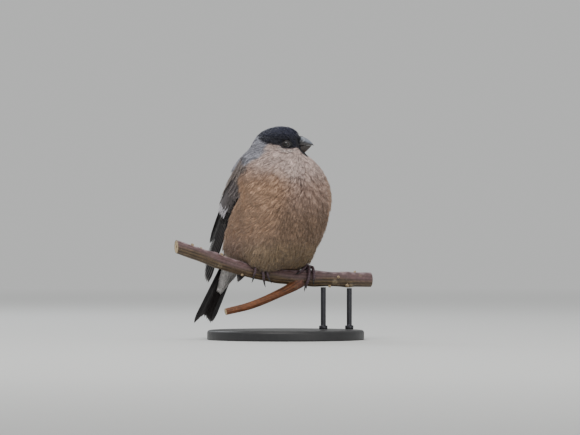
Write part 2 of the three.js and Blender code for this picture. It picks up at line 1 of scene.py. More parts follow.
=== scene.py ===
import bpy
import numpy as np
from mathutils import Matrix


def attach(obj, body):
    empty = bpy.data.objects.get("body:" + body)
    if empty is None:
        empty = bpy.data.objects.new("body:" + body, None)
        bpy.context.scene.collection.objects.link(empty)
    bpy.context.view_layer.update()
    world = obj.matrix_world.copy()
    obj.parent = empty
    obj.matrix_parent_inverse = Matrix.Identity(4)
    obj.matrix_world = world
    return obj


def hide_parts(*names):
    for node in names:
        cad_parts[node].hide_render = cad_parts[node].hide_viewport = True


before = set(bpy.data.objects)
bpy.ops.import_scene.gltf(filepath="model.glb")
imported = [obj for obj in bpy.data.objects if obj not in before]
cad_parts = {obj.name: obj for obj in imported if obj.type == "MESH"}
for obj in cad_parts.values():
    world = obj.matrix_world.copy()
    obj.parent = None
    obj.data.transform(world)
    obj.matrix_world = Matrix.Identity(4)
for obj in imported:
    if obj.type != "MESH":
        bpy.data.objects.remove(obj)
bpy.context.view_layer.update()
print("frame loaded:", len(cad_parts), "nodes")

# Shapes are worked out in millimetres in the bird's own frame: its origin is on the perch between the
# feet, the bird faces -Y and its left side is +X. makePiece carries them into the stand's frame.
millimetre = 0.001
birdPlace = np.array([-6.0, -2.0, 44.5])
tailLean = np.radians(32.5)
headTurn = np.radians(33)
up = np.array([0.0, 0.0, 1.0])
left = np.array([1.0, 0.0, 0.0])
tailward = np.array([0.0, np.sin(tailLean), -np.cos(tailLean)])
backward = np.array([0.0, np.cos(tailLean), np.sin(tailLean)])
sideNames = {1: "Left", -1: "Right"}


# Small helpers

def unit(v):
    # v / |v|
    return v / np.maximum(np.linalg.norm(v, axis=-1, keepdims=True), 1e-9)


def dot(a, b):
    return np.sum(a * b, axis=-1)


def column(x):
    return np.asarray(x)[..., None]


def ease(low, high, x):
    # t = (x - low) / (high - low) held to 0..1, then 3t^2 - 2t^3
    t = np.clip((x - low) / (high - low), 0, 1)
    return t * t * (3 - 2 * t)


def mix(a, b, share):
    return a * (1 - column(share)) + b * column(share)


def through(stations, sizes, at):
    # cubic Hermite pieces through the sizes, slopes = central differences
    stations = np.asarray(stations, float)
    sizes = np.asarray(sizes, float)
    low = np.maximum(np.arange(len(sizes)) - 1, 0)
    high = np.minimum(np.arange(len(sizes)) + 1, len(sizes) - 1)
    slope = (sizes[high] - sizes[low]) / (stations[high] - stations[low])
    x = np.clip(at, stations[0], stations[-1])
    i = np.clip(np.searchsorted(stations, x, side="right") - 1, 0, len(stations) - 2)
    span = stations[i + 1] - stations[i]
    t = (x - stations[i]) / span
    bend = span * (slope[i] * t * (1 - t) ** 2 - slope[i + 1] * t * t * (1 - t))
    return sizes[i] + (sizes[i + 1] - sizes[i]) * t * t * (3 - 2 * t) + bend


def mottle(points, size, seed):
    # soft patches in -1..1: the mean of sines along eight fixed random directions, waves of about that size
    draw = np.random.default_rng(seed)
    ways = unit(draw.normal(size=(8, 3))) * draw.uniform(0.6, 1.7, (8, 1))
    phase = draw.uniform(0, 2 * np.pi, 8)
    waves = np.sin(points @ ways.T * (2 * np.pi / size) + phase)
    return waves.sum(-1) / 3.2


def linear(sRgb):
    # colours are written as 0..255 screen values; shaders want them linear
    c = np.asarray(sRgb, float) / 255
    return np.where(c <= 0.04045, c / 12.92, ((c + 0.055) / 1.055) ** 2.4)


def gridFaces(rows, columns, closed):
    # quads of a grid of rows by columns; closed joins the last column to the first
    i = np.arange(rows - 1)[:, None] * columns
    j = np.arange(columns if closed else columns - 1)[None, :]
    k = (j + 1) % columns
    return np.stack([i + j, i + k, i + k + columns, i + j + columns], -1).reshape(-1, 4)


def facingOut(points, faces):
    # the enclosed volume's sign tells which way the faces point
    volume = 0.0
    for part in faces:
        a = points[part[:, 0]]
        for second in range(1, part.shape[1] - 1):
            volume += np.sum(dot(a, np.cross(points[part[:, second]], points[part[:, second + 1]])))
    return faces if volume > 0 else [part[:, ::-1] for part in faces]


def makePiece(name, points, faces, material, replaces=(), attributes=None, bakeMap=None, smooth=True):
    # faces is a list of index arrays, one for each number of corners
    points = points + birdPlace
    faces = facingOut(points - points.mean(0), faces)
    corners = np.concatenate([part.ravel() for part in faces])
    sizes = np.concatenate([np.full(len(part), part.shape[1]) for part in faces])
    mesh = bpy.data.meshes.new(name)
    mesh.vertices.add(len(points))
    mesh.vertices.foreach_set("co", (points * millimetre).astype(np.float32).ravel())
    mesh.loops.add(len(corners))
    mesh.loops.foreach_set("vertex_index", corners.astype(np.int32))
    mesh.polygons.add(len(sizes))
    mesh.polygons.foreach_set("loop_start", (np.cumsum(sizes) - sizes).astype(np.int32))
    mesh.update(calc_edges=True)
    mesh.polygons.foreach_set("use_smooth", np.full(len(sizes), smooth))
    for key, values in (attributes or {}).items():
        held = mesh.color_attributes.new(key, "FLOAT_COLOR", "POINT")
        full = np.ones((len(points), 4), np.float32)
        full[:, : values.shape[1]] = values
        held.data.foreach_set("color", full.ravel())
    if bakeMap is not None:
        held = mesh.uv_layers.new(name="OFBake")
        held.data.foreach_set("uv", bakeMap[corners].astype(np.float32).ravel())
    mesh.materials.append(material)
    piece = bpy.data.objects.new(name, mesh)
    bpy.context.scene.collection.objects.link(piece)
    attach(piece, "root")
    if replaces:
        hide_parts(*replaces)
    print(name, int(np.sum(sizes - 2)), "triangles")
    return piece


class Heap:
    # gathers many small meshes into one
    def __init__(self):
        self.points, self.faces, self.extras, self.count = [], {}, {}, 0

    def add(self, points, faces, **extras):
        points = points.reshape(-1, 3)
        for part in faces:
            self.faces.setdefault(part.shape[1], []).append(part + self.count)
        for key, values in extras.items():
            values = np.asarray(values, float)
            shown = np.broadcast_to(values, (len(points), values.shape[-1]))
            self.extras.setdefault(key, []).append(shown)
        self.points.append(points)
        self.count += len(points)

    def make(self, name, material, slot, replaces=(), smooth=True):
        extras = {key: np.concatenate(values) for key, values in self.extras.items()}
        bakeMap = extras.pop("bakeMap", None)
        faces = [np.concatenate(parts) for parts in self.faces.values()]
        points = np.concatenate(self.points)
        return makePiece(name, points, faces, material, replaces, extras, bakeMap, smooth)


def tube(points, radii, sides, normal=None, flat=1.0):
    # rings round a path: centre + radius (n cos a + flat b sin a), with n carried along the path
    points = np.asarray(points, float)
    along = unit(np.gradient(points, axis=0))
    start = normal if normal is not None else np.cross(along[0], [0.3, 0.5, 0.81])
    n = np.zeros_like(points)
    held = np.asarray(start, float)
    for i in range(len(points)):
        held = unit(held - along[i] * dot(held, along[i]))
        n[i] = held
    b = np.cross(along, n)
    a = np.arange(sides) * 2 * np.pi / sides
    radii = np.asarray(radii, float)
    if radii.ndim == 1:
        radii = radii[:, None] * np.ones(sides)
    rings = n[:, None] * column(radii * np.cos(a)) + b[:, None] * column(flat * radii * np.sin(a))
    return points[:, None] + rings


def closedRings(rings, start=None, end=None):
    # a closed surface over rings of equal length; each end closes on one point
    rows, sides = rings.shape[:2]
    start = rings[0].mean(0) if start is None else start
    end = rings[-1].mean(0) if end is None else end
    points = np.concatenate([rings.reshape(-1, 3), start[None], end[None]])
    j = np.arange(sides)
    k = (j + 1) % sides
    last = (rows - 1) * sides
    caps = np.concatenate([
        np.stack([np.full(sides, rows * sides), k, j], -1),
        np.stack([np.full(sides, rows * sides + 1), last + j, last + k], -1),
    ])
    return points, [gridFaces(rows, sides, True), caps]


# The body's shape: melted ellipsoids, as in the CAD. Each is centre, half sizes, melt, lean and turn.

headCentre = np.array([1.0, 4.3, 72.5])
vent = np.array([0.0, 24.0, 22.0])


def onHead(forward, side, height):
    # turns (side, -forward, height) by the head's turn about the upright, from the head's centre
    c, s = np.cos(headTurn), np.sin(headTurn)
    forward, side, height = np.broadcast_arrays(forward, side, height)
    return np.stack([c * side + s * forward, s * side - c * forward, height], -1) + headCentre


def headPlaces(points):
    # forward, to its left and up from the head's centre
    c, s = np.cos(headTurn), np.sin(headTurn)
    p = points - headCentre
    return s * p[..., 0] - c * p[..., 1], c * p[..., 0] + s * p[..., 1], p[..., 2]


masses = [
    ([0, 1.5, 41], [32.3, 31, 32], 9, 0, 0),
    ([0, 7, 22.5], [28.5, 29.5, 24.5], 9, 0, 0),
    ([0, 21.5, 19.5], [23, 17, 21], 9, tailLean, 0),
    ([12.5, 1.5, 8], [10, 11, 10], 7, 0, 0),
    ([-12.5, 1.5, 8], [10, 11, 10], 7, 0, 0),
    ([0, 10, 53], [23.5, 19, 20], 9, 0, 0),
    ([0.5, 4.5, 61.5], [17.5, 17, 12.5], 8, 0, 0),
    (headCentre, [11, 15.2, 12.9], 5, 0, headTurn),
    (onHead(5.3, 0, 3.5), [9, 9, 8.6], 5, 0, headTurn),
]


def bodyDistance(points):
    # of one mass: k (k - 1) / |p / h^2| with k = |p / h|; two are joined by min(a, b) - melt q^2 / 4,
    # where q = 1 - |a - b| / melt and at least 0
    whole = None
    for centre, half, melt, lean, turn in masses:
        p = points - np.asarray(centre, float)
        x, y, z = p[..., 0], p[..., 1], p[..., 2]
        if turn:
            c, s = np.cos(turn), np.sin(turn)
            x, y = c * x + s * y, c * y - s * x
        if lean:
            c, s = np.cos(lean), np.sin(lean)
            y, z = c * y + s * z, c * z - s * y
        a, b, c = half
        k = np.sqrt((x / a) ** 2 + (y / b) ** 2 + (z / c) ** 2)
        slope = np.sqrt((x / a**2) ** 2 + (y / b**2) ** 2 + (z / c**2) ** 2)
        own = k * (k - 1) / np.maximum(slope, 1e-9)
        if whole is None:
            whole = own
        else:
            near = np.maximum(melt - np.abs(whole - own), 0) / melt
            whole = np.minimum(whole, own) - near * near * melt / 4
    return whole


def slopeOf(field, points, step=0.05):
    # the field's gradient by central differences
    ways = np.eye(3) * step
    return np.stack([field(points + way) - field(points - way) for way in ways], -1) / (2 * step)


bezier = np.array([vent, vent - 22 * tailward, headCentre - 18 * up, headCentre])


def spineAt(t):
    # cubic Bezier
    t = column(t)
    weights = [(1 - t) ** 3, 3 * (1 - t) ** 2 * t, 3 * (1 - t) * t**2, t**3]
    return sum(w * p for w, p in zip(weights, bezier))


def spineAlong(t):
    t = column(t)
    a, b, c, d = bezier
    return unit((1 - t) ** 2 * (b - a) + 2 * (1 - t) * t * (c - b) + t**2 * (d - c))


def reach(origin, direction, inside, far=70.0):
    # how far each ray goes before it leaves the inside, by halving
    low = np.zeros(origin.shape[:-1])
    high = np.full(origin.shape[:-1], far)
    for _ in range(24):
        middle = (low + high) / 2
        within = inside(origin + direction * column(middle))
        low = np.where(within, middle, low)
        high = np.where(within, high, middle)
    return low


# The sleeve that the folded wings lie on: along from the bend, turn from the middle of the back, height

sleeveStart = np.array([0.0, 5.0, 60.0])
sleeveStations = [0, 20, 40, 60, 84]
wingStart, wingLength, wingLift = 2.0, 84.0, 0.75


def sleeveSize(along):
    half = through(sleeveStations, [22.5, 25.6, 23, 17.2, 11], along)
    depth = through(sleeveStations, [13.5, 15, 14, 11.6, 9.5], along)
    return half, depth, through(sleeveStations, [-4, -5, -3.5, 0, 3.4], along)


def onSleeve(side, along, turn, height):
    # start + along w + backward (middle + (depth + h) cos turn) + left side (half + h) sin turn
    half, depth, middle = sleeveSize(along)
    back = middle + (depth + height) * np.cos(turn)
    across = side * (half + height) * np.sin(turn)
    return sleeveStart + column(along) * tailward + column(back) * backward + column(across) * left


def sleevePlaces(points):
    # the other way round: the height is found by a few steps of the ellipse's distance
    p = points - sleeveStart
    along = p @ tailward
    half, depth, middle = sleeveSize(along)
    x, q = p @ left, p @ backward - middle
    height = np.zeros_like(along)
    for _ in range(5):
        a, b = half + height, depth + height
        k = np.sqrt((x / a) ** 2 + (q / b) ** 2)
        slope = np.sqrt((x / a**2) ** 2 + (q / b**2) ** 2)
        height = np.maximum(height + k * (k - 1) / np.maximum(slope, 1e-6), -8)
    return along, np.arctan2(x / (half + height), q / (depth + height)), height


def upperTurn(along):
    return through([0, 15, 40, 62, 84], [0.85, 0.45, 0.25, 0.25, 0.8], along)


def lowerTurn(along):
    return through([0, 10, 30, 58, 84], [1.75, 1.82, 1.74, 1.8, 1.9], along)


def wingEdges(along):
    # the upper and lower edges, drawn together towards both ends of the wing
    fromBend = np.clip((along - wingStart) / 9, 0.02, 1)
    fromTip = np.clip((wingLength - along) / 16, 0.02, 1)
    middle = (upperTurn(along) + lowerTurn(along)) / 2
    half = (lowerTurn(along) - upperTurn(along)) / 2 * np.sqrt(fromBend) * fromTip**0.6
    return middle - half, middle + half


def turnAt(along, around):
    # a distance round from the lower edge, as a turn
    half, depth, _ = sleeveSize(along)
    return lowerTurn(along) - 2 * around / (half + depth)


def underWing(points, margin):
    # millimetres inside the wing's edges, negative outside
    along, turn, height = sleevePlaces(points)
    upper, lower = wingEdges(along)
    size = sum(sleeveSize(along)[:2]) / 2
    inside = np.minimum(np.abs(turn) - upper, lower - np.abs(turn)) * size + margin
    ends = np.minimum(along - wingStart, wingLength - along) + margin
    return np.minimum(inside, ends), height


# Materials

def newMaterial(name):
    material = bpy.data.materials.new(name)
    material.use_nodes = True
    nodes = material.node_tree.nodes
    return material, nodes, nodes["Principled BSDF"]


def feed(target, values):
    # each socket takes a value, another node's first output or the output named
    for place, value in values.items():
        if isinstance(value, bpy.types.Node):
            value = value.outputs[0]
        if isinstance(value, bpy.types.NodeSocket):
            target.id_data.links.new(value, target.inputs[place])
        else:
            target.inputs[place].default_value = value


def node(nodes, kind, **values):
    # a node with its settings by attribute name and its sockets by "in" and their number or name
    made = nodes.new(kind)
    for key, value in values.items():
        if key.startswith("in"):
            place = key[2:]
            feed(made, {int(place) if place.isdigit() else place: value})
        else:
            setattr(made, key, value)
    return made


def between(nodes, noise, low, high):
    # a noise's usual 0.3..0.7 spread over low..high
    return node(nodes, "ShaderNodeMapRange", in0=noise, in1=0.3, in2=0.7, in3=low, in4=high)


def plumageMaterial(name, settings):
    # colour = plumage attribute x (dark at the barb's root as painted shade deep in the coat, light at its tip)
    # x each barb's own share
    material, nodes, shader = newMaterial(name)
    colour = node(nodes, "ShaderNodeAttribute", attribute_name="plumage")
    barb = node(nodes, "ShaderNodeAttribute", attribute_name="barb")
    parts = node(nodes, "ShaderNodeSeparateColor", in0=barb.outputs["Color"])
    place = node(nodes, "ShaderNodeTexCoord")
    noise = node(
        nodes, "ShaderNodeTexNoise", in2=settings["streakScale"], in3=4.0, inVector=place.outputs["Object"],
    )
    # painted shade: rootTone darkens each feather towards its root, under the feathers that overlie it
    alongTone = node(nodes, "ShaderNodeMapRange", in3=settings["rootTone"], in4=settings["tipTone"], in0=parts)
    barbTone = node(
        nodes, "ShaderNodeMapRange", in3=1 - settings["barbContrast"], in4=1 + settings["barbContrast"],
        in0=parts.outputs[2],
    )
    noiseTone = between(nodes, noise, 0.86, 1.14)
    first = node(nodes, "ShaderNodeMath", operation="MULTIPLY", in0=alongTone, in1=barbTone)
    second = node(nodes, "ShaderNodeMath", operation="MULTIPLY", in0=first, in1=noiseTone)
    tinted = node(nodes, "ShaderNodeVectorMath", operation="SCALE", in0=colour.outputs["Color"], inScale=second)
    feed(shader, {
        "Roughness": settings["roughness"], "Specular IOR Level": settings["specular"],
        "Sheen Weight": settings["sheen"], "Sheen Roughness": 0.45,
        "Sheen Tint": (*linear(settings["sheenTint"]), 1), "Base Color": tinted,
    })
    return material


softPlumage = plumageMaterial("softPlumage", {
    "streakScale": 900.0, "rootTone": 0.95, "tipTone": 1.03, "barbContrast": 0.2,
    "roughness": 0.72, "specular": 0.25, "sheen": 0.18, "sheenTint": (235, 225, 220),
})
capPlumage = plumageMaterial("capPlumage", {
    "streakScale": 1100.0, "rootTone": 0.8, "tipTone": 1.1, "barbContrast": 0.2,
    "roughness": 0.42, "specular": 0.5, "sheen": 0.1, "sheenTint": (120, 130, 190),
})


def skinMaterial():
    # the same markings as the coat over fine pores
    material, nodes, shader = newMaterial("skinUnderDown")
    colour = node(nodes, "ShaderNodeAttribute", attribute_name="plumage")
    place = node(nodes, "ShaderNodeTexCoord")
    noise = node(nodes, "ShaderNodeTexNoise", in2=1400.0, in3=3.0, inVector=place.outputs["Object"])
    tone = between(nodes, noise, 0.7, 0.95)
    tinted = node(nodes, "ShaderNodeVectorMath", operation="SCALE", in0=colour.outputs["Color"], inScale=tone)
    bump = node(nodes, "ShaderNodeBump", in0=0.6, in1=0.0003, inHeight=noise)
    feed(shader, {"Roughness": 0.85, "Base Color": tinted, "Normal": bump})
    return material


# Markings: named colours laid over the body by formulas of place, with painted sheen on the crown and painted
# shade on the belly

coatColours = {
    "throat": (204, 182, 174), "breast": (176, 148, 134), "flank": (184, 148, 120), "belly": (138, 112, 90),
    "lowBelly": (156, 134, 104), "vent": (222, 218, 216), "mantle": (128, 116, 112), "rump": (232, 230, 230),
    "nape": (158, 158, 168), "cap": (26, 26, 34), "capSheen": (44, 46, 66), "down": (92, 92, 102),
}
coatColours = {key: linear(value) for key, value in coatColours.items()}
eyePlace = {"forward": 7.8, "side": 8.9, "height": 2.0, "radius": 3.1}


def capMask(points, soft=0.5):
    # above a line from the chin under the eye to the nape, or under the bill's root
    forward, _, height = headPlaces(points)
    line = through(
        [-14, -11.4, -5.3, 3.8, 5.9, 14, 15.5, 18], [8.2, 5.3, 2.0, 1.1, -0.5, -0.7, -2.0, -5.2], forward,
    )
    wave = 0.35 * mottle(points, 3.0, 5)
    return ease(-soft, soft, height - line + wave) * ease(-15.5, -13, forward + 0.3 * height)


def greyMask(points):
    # behind a line down the side of the head and neck; over the nape and the top of the mantle
    forward = headPlaces(points)[0]
    z = points[..., 2]
    onNeck = points[..., 1] - through([48, 55, 61.6, 67], [13, 8.5, 5.4, -0.6], z)
    onTheHead = -5.2 - forward
    g = onNeck * (1 - ease(63, 70, z)) + onTheHead * ease(63, 70, z)
    return ease(-2.2, 2.2, g + 1.2 * mottle(points, 6, 8)) * ease(44, 54, z)


def plumageColour(points):
    x, y, z = points[..., 0], points[..., 1], points[..., 2]
    c = coatColours
    colour = np.broadcast_to(c["breast"], points.shape).copy()
    colour = mix(colour, c["throat"], ease(50, 64, z + 0.3 * (-y - 10)))
    sideways = np.abs(x) / 30
    colour = mix(colour, c["flank"], ease(0.45, 0.85, sideways) * ease(60, 46, z) * ease(4, 20, z) * 0.85)
    # partly painted shade: the belly's own browner colour, painted darker on the lower body where shade falls
    colour = mix(colour, c["belly"], ease(46, 22, z) * ease(0.95, 0.55, sideways) * 0.85)
    colour = mix(colour, c["lowBelly"], ease(18, 4, z) * ease(18, 6, y) * 0.7)
    colour = mix(colour, c["vent"], ease(17, 9, np.linalg.norm(points - [0, 34, 5], axis=-1)))
    back = ease(6, 12, y - 0.14 * (60 - z))
    colour = mix(colour, c["mantle"], back * ease(34, 40, z))
    colour = mix(colour, c["rump"], ease(12, 18, y) * ease(37, 31, z) * ease(17, 13, np.abs(x)))
    patches = 1 + 0.09 * mottle(points, 16, 3) + 0.06 * mottle(points, 6, 4)
    colour = colour * column(patches)
    parting = np.array([-11.6, -17.5, 52.0])
    spot = np.exp(-dot(points - parting, points - parting) / 18.0)
    smudge = np.array([-8.2, -20.6, 50.0])
    dark = np.exp(-np.sum(((points - smudge) / [3.6, 5.0, 5.4]) ** 2, -1))
    colour = mix(colour, c["down"], np.clip(dark * 0.8, 0, 0.75))
    colour = mix(colour, c["vent"], np.clip(spot * 1.1, 0, 0.8))
    colour = mix(colour, c["nape"], greyMask(points))
    forward, _, height = headPlaces(points)
    line = through([-5, 3.8, 5.9, 14], [1.4, 1.1, -0.5, -0.7], forward)
    under = np.exp(-(((height - line + 1.3) / 0.8) ** 2)) * ease(0, 4, forward) * ease(14, 10, forward)
    colour = mix(colour, c["vent"], under * 0.45)
    # painted sheen: the black cap turns a lighter blue towards the top of the crown
    black = mix(np.broadcast_to(c["cap"], points.shape), c["capSheen"], ease(5, 12, height))
    return mix(colour, black, capMask(points))


# Skin: rays from a line inside the body, a dome at each end. It lies under the coat by the coat's depth,
# under the wings where they are folded on it. The eyes and the bill stand in it.

skin = {"tailDomeRows": 22, "bodyRows": 96, "headDomeRows": 26, "sides": 144}
eyeSeats = {side: onHead(eyePlace["forward"], side * eyePlace["side"], eyePlace["height"]) for side in (1, -1)}


def coatDepth(points):
    # deep on the body, shallow on the head and shallowest round the bill and eyes
    forward = headPlaces(points)[0]
    depth = 1.0 + 1.5 * ease(66, 50, points[..., 2])
    return depth - 0.45 * ease(6, 13, forward) * ease(60, 66, points[..., 2])


rowDip = np.concatenate([
    np.linspace(np.radians(-86), np.radians(-4), skin["tailDomeRows"]),
    np.zeros(skin["bodyRows"]),
    np.linspace(np.radians(3), np.radians(87), skin["headDomeRows"]),
])
rowAt = np.concatenate([
    np.zeros(skin["tailDomeRows"]),
    np.linspace(0, 1, skin["bodyRows"]),
    np.ones(skin["headDomeRows"]),
])


def skinRays():
    # back cos a cos dip + left sin a cos dip + along sin dip, from the spine
    origin = spineAt(rowAt)
    along = spineAlong(rowAt)
    back = unit(np.cross(along, left))
    a = np.arange(skin["sides"]) * 2 * np.pi / skin["sides"]
    level = np.cos(rowDip)[:, None, None]
    ways = back[:, None] * column(np.cos(a)) * level + left * column(np.sin(a)) * level
    ways = ways + along[:, None] * np.sin(rowDip)[:, None, None]
    return np.broadcast_to(origin[:, None], ways.shape).copy(), unit(ways)


def skinSurface():
    origin, way = skinRays()
    free = reach(origin, way, lambda p: bodyDistance(p) < -coatDepth(p))
    bed = reach(origin, way, lambda p: sleevePlaces(p)[2] < -0.6)
    covered, _ = underWing(origin + way * column(np.minimum(bed, free)), 1.0)
    hidden = ease(-1.5, 1.5, covered)
    return origin + way * column(free + (np.minimum(free, bed) - free) * hidden)


skinGrid = skinSurface()
points, faces = closedRings(skinGrid)
# the skin carries the coat's markings mixed towards the down's grey, darkened further as painted shade under
# the coat
makePiece(
    "skin", points, faces, skinMaterial(), ["head", "neck", "torso"],
    {"plumage": mix(plumageColour(points), coatColours["down"] * 0.6, 0.35 * (1 - capMask(points)))},
    np.stack([
        np.concatenate([np.tile(np.linspace(0.02, 0.98, skin["sides"]), len(rowAt)), [0.5, 0.5]]),
        np.concatenate([np.repeat(np.linspace(0.02, 0.98, len(rowAt)), skin["sides"]), [0.01, 0.99]]),
    ], -1),
)


# Contour feathers. Each has a shaft that walks down the lie of the coat, rising from the skin to the coat's
# outer surface, and barbs that leave it on both sides and curve towards its tip.

def dressedDistance(points):
    # the body, or the folded wing where that stands higher, so that feathers run over the wing's edge
    inside, height = underWing(points, -0.3)
    wing = height - (2.6 + 0.5 * ease(0, 4, inside))
    own = bodyDistance(points)
    return np.where(inside > 0, np.minimum(own, wing), own)


billRootPlace = onHead(14.5, 0, 2.2)


def lieOfCoat(points):
    # away from the bill over the head, then down the body, a little outward over the breast; round the eyes
    fromBill = unit(points - billRootPlace)
    x, z = points[..., 0], points[..., 2]
    clear = ease(-2, -11, underWing(points, 0.0)[0])
    down = tailward + 0.0 * points
    outwards = 0.22 * clear * np.sin(np.clip(x / 26, -1, 1) * np.pi / 2)
    down = down + left * column(outwards * ease(70, 50, z) * ease(26, 42, z))
    down = down - left * column(0.010 * x * ease(30, 12, z))
    down = down + backward * column(0.45 * clear * ease(16, 25, np.abs(x)) * ease(8, 22, z) * ease(54, 40, z))
    onTheHead = ease(20, 11, np.linalg.norm(points - headCentre - [0, 0, -1], axis=-1) - 4)
    lie = mix(unit(down), fromBill, onTheHead)
    for seat in eyeSeats.values():
        away = points - seat
        far = np.linalg.norm(away, axis=-1)
        away = away / column(np.maximum(far, 1e-6))
        towards = np.minimum(dot(lie, away), 0) * np.exp(-(np.maximum(far - 3.2, 0) / 2.2) ** 2)
        lie = lie - away * column(towards)
    lie = unit(lie)
    # beside the wing's edge the coat runs along the edge, not over it
    inside = underWing(points, 0.0)[0]
    inward = np.stack([underWing(points + 0.6 * axis, 0.0)[0] - inside for axis in np.eye(3)], -1)
    inward = np.nan_to_num(inward, nan=0.0, posinf=0.0, neginf=0.0)
    inward = inward / column(np.maximum(np.linalg.norm(inward, axis=-1), 1e-6))
    over = np.maximum(dot(lie, inward), 0) * ease(-7.0, -1.5, inside)
    return unit(lie - inward * column(over + 0.12 * ease(-2.5, -0.5, inside)))


def shaftsOnBody(roots, length, rise, steps, turn):
    # X(k+1) = X(k) + way x length / steps, then set back on the level that it has risen to
    level0 = bodyDistance(roots)
    place = roots
    held = None
    places, ways, outs = [], [], []
    for k in range(steps + 1):
        out = unit(slopeOf(dressedDistance, place))
        way = lieOfCoat(place)
        if held is not None:
            way = unit(0.6 * way + 0.4 * held)
        way = unit(way - out * column(dot(way, out)))
        way = unit(way + np.cross(out, way) * column(turn))
        places.append(place)
        ways.append(way)
        outs.append(out)
        held = way
        share = (k + 1) / steps
        level = level0 + (rise - level0) * share**0.75
        place = place + way * column(length / steps)
        for _ in range(2):
            out = unit(slopeOf(dressedDistance, place))
            place = place - out * column(np.clip(dressedDistance(place) - level, -1.5, 1.5))
    places, ways, outs = (np.stack(v, 1) for v in (places, ways, outs))
    return {"place": places, "out": outs, "side": unit(np.cross(outs, ways)), "length": length}


def alongShaft(values, share):
    # straight lines between the stations, and straight on past the last
    steps = values.shape[1] - 1
    x = share * steps
    i = np.clip(np.floor(x).astype(int), 0, steps - 1)
    t = column(x - i)
    rows = np.arange(len(values))[:, None]
    return values[rows, i] * (1 - t) + values[rows, i + 1] * t


prismFaces = np.array([
    [0, 2, 1], [0, 1, 4], [0, 4, 3], [1, 2, 5], [1, 5, 4], [2, 0, 3], [2, 3, 5], [3, 4, 6], [4, 5, 6], [
        5, 3, 6,
    ],
])


def barbs(shaft, look, draw, colourAt, bakePlace):
    # a barb leaves the shaft at share s0 and ends at s0 + reach (1 - 0.55 s0), at a distance from the shaft
    # of half width x sqrt(1 - 0.75 s0^2.4); at 0.42 of the way on it has gone 0.84 of the way out
    count, many = len(shaft["place"]), look["barbs"]
    grade = (np.arange(many) + 0.5) / many
    s0 = 0.06 + 0.92 * grade + draw.uniform(-0.5, 0.5, (count, many)) * 0.9 / many
    sign = np.where(np.arange(many) % 2, 1.0, -1.0)
    half = column(shaft["halfWidth"])
    out = half * np.sqrt(np.clip(1 - 0.75 * s0**2.4, 0.02, 1)) * draw.uniform(0.05, 1.1, (count, many)) * sign
    on = look["reach"] * (1 - 0.55 * s0) * draw.uniform(0.8, 1.25, (count, many))
    lift = look["fluff"] * draw.uniform(-0.4, 1.0, (count, many)) * (0.4 + 0.6 * s0)
    stations = []
    for t, u, rise in ((0.0, 0.45, 0.0), (0.42, 0.84, 0.5), (1.0, 1.0, 1.0)):
        share, across = s0 + on * t, out * u
        place = alongShaft(shaft["place"], share)
        side = alongShaft(shaft["side"], share)
        outward = unit(alongShaft(shaft["out"], share))
        sag = across**2 * look["bend"]
        place = place + side * column(across) + outward * column(lift * rise - sag)
        stations.append((place, outward))
    (p0, n0), (p1, n1), (p2, _) = stations
    width = look["width"] * draw.uniform(0.75, 1.25, (count, many)) * column(shaft["halfWidth"]) ** 0.5
    rings = []
    for p, n, towards, size in ((p0, n0, p1 - p0, 0.8), (p1, n1, p2 - p1, 1.0)):
        e = unit(np.cross(n, unit(towards))) * column(width * size / 2)
        rings += [p - e, p + e, p + n * column(width * size * 0.17)]
    points = np.stack([*rings, p2], 2)
    index = (np.arange(count * many) * 7)[:, None, None] + prismFaces
    tone = np.ones((count, many, 7, 3))
    tone[..., 0] = np.stack([s0, s0, s0, s0 + on * 0.42, s0 + on * 0.42, s0 + on * 0.42, s0 + on], -1)
    tone[..., 1] = draw.uniform(0, 1, (count, 1, 1))
    tone[..., 2] = draw.uniform(0, 1, (count, many, 1))
    colour = colourAt(p2)
    feather = 1 + look["featherContrast"] * draw.uniform(-1, 1, (count, 1, 1))
    colour = np.broadcast_to(np.clip(colour * feather, 0, 1)[:, :, None], points.shape)
    patch = np.zeros((count, many, 7, 2))
    patch[..., 0] = bakePlace[:, 0, None, None] + 0.0013 * np.clip(tone[..., 0] * 2 - 1, -1, 1.2)
    outShares = np.stack([0 * out, 0 * out, 0 * out, out * 0.62, out * 0.62, out * 0.62, out], -1)
    patch[..., 1] = bakePlace[:, 1, None, None] + 0.0013 * outShares / half[..., None]
    return (
        points.reshape(-1, 3), [index.reshape(-1, 3)],
        {"plumage": colour.reshape(-1, 3), "barb": tone.reshape(-1, 3), "bakeMap": patch.reshape(-1, 2)},
    )


# Roots lie in rows round the body, each row set half a step on from the last

coat = {
    "spacing": [(0, 1.15), (8, 1.25), (15, 1.7), (26, 2.35), (100, 2.5)], # from the head's centre, in mm
    "length": [(0, 5.0), (10, 5.5), (16, 8.0), (26, 11.0), (100, 12.5)],
    "halfWidth": [(0, 0.8), (10, 1.0), (16, 1.8), (26, 2.8), (100, 3.1)],
}


def byHead(name, points):
    # the setting at each point's distance from the head's centre
    far = np.linalg.norm(points - headCentre, axis=-1)
    stations, sizes = zip(*coat[name])
    return np.interp(far, stations, sizes)


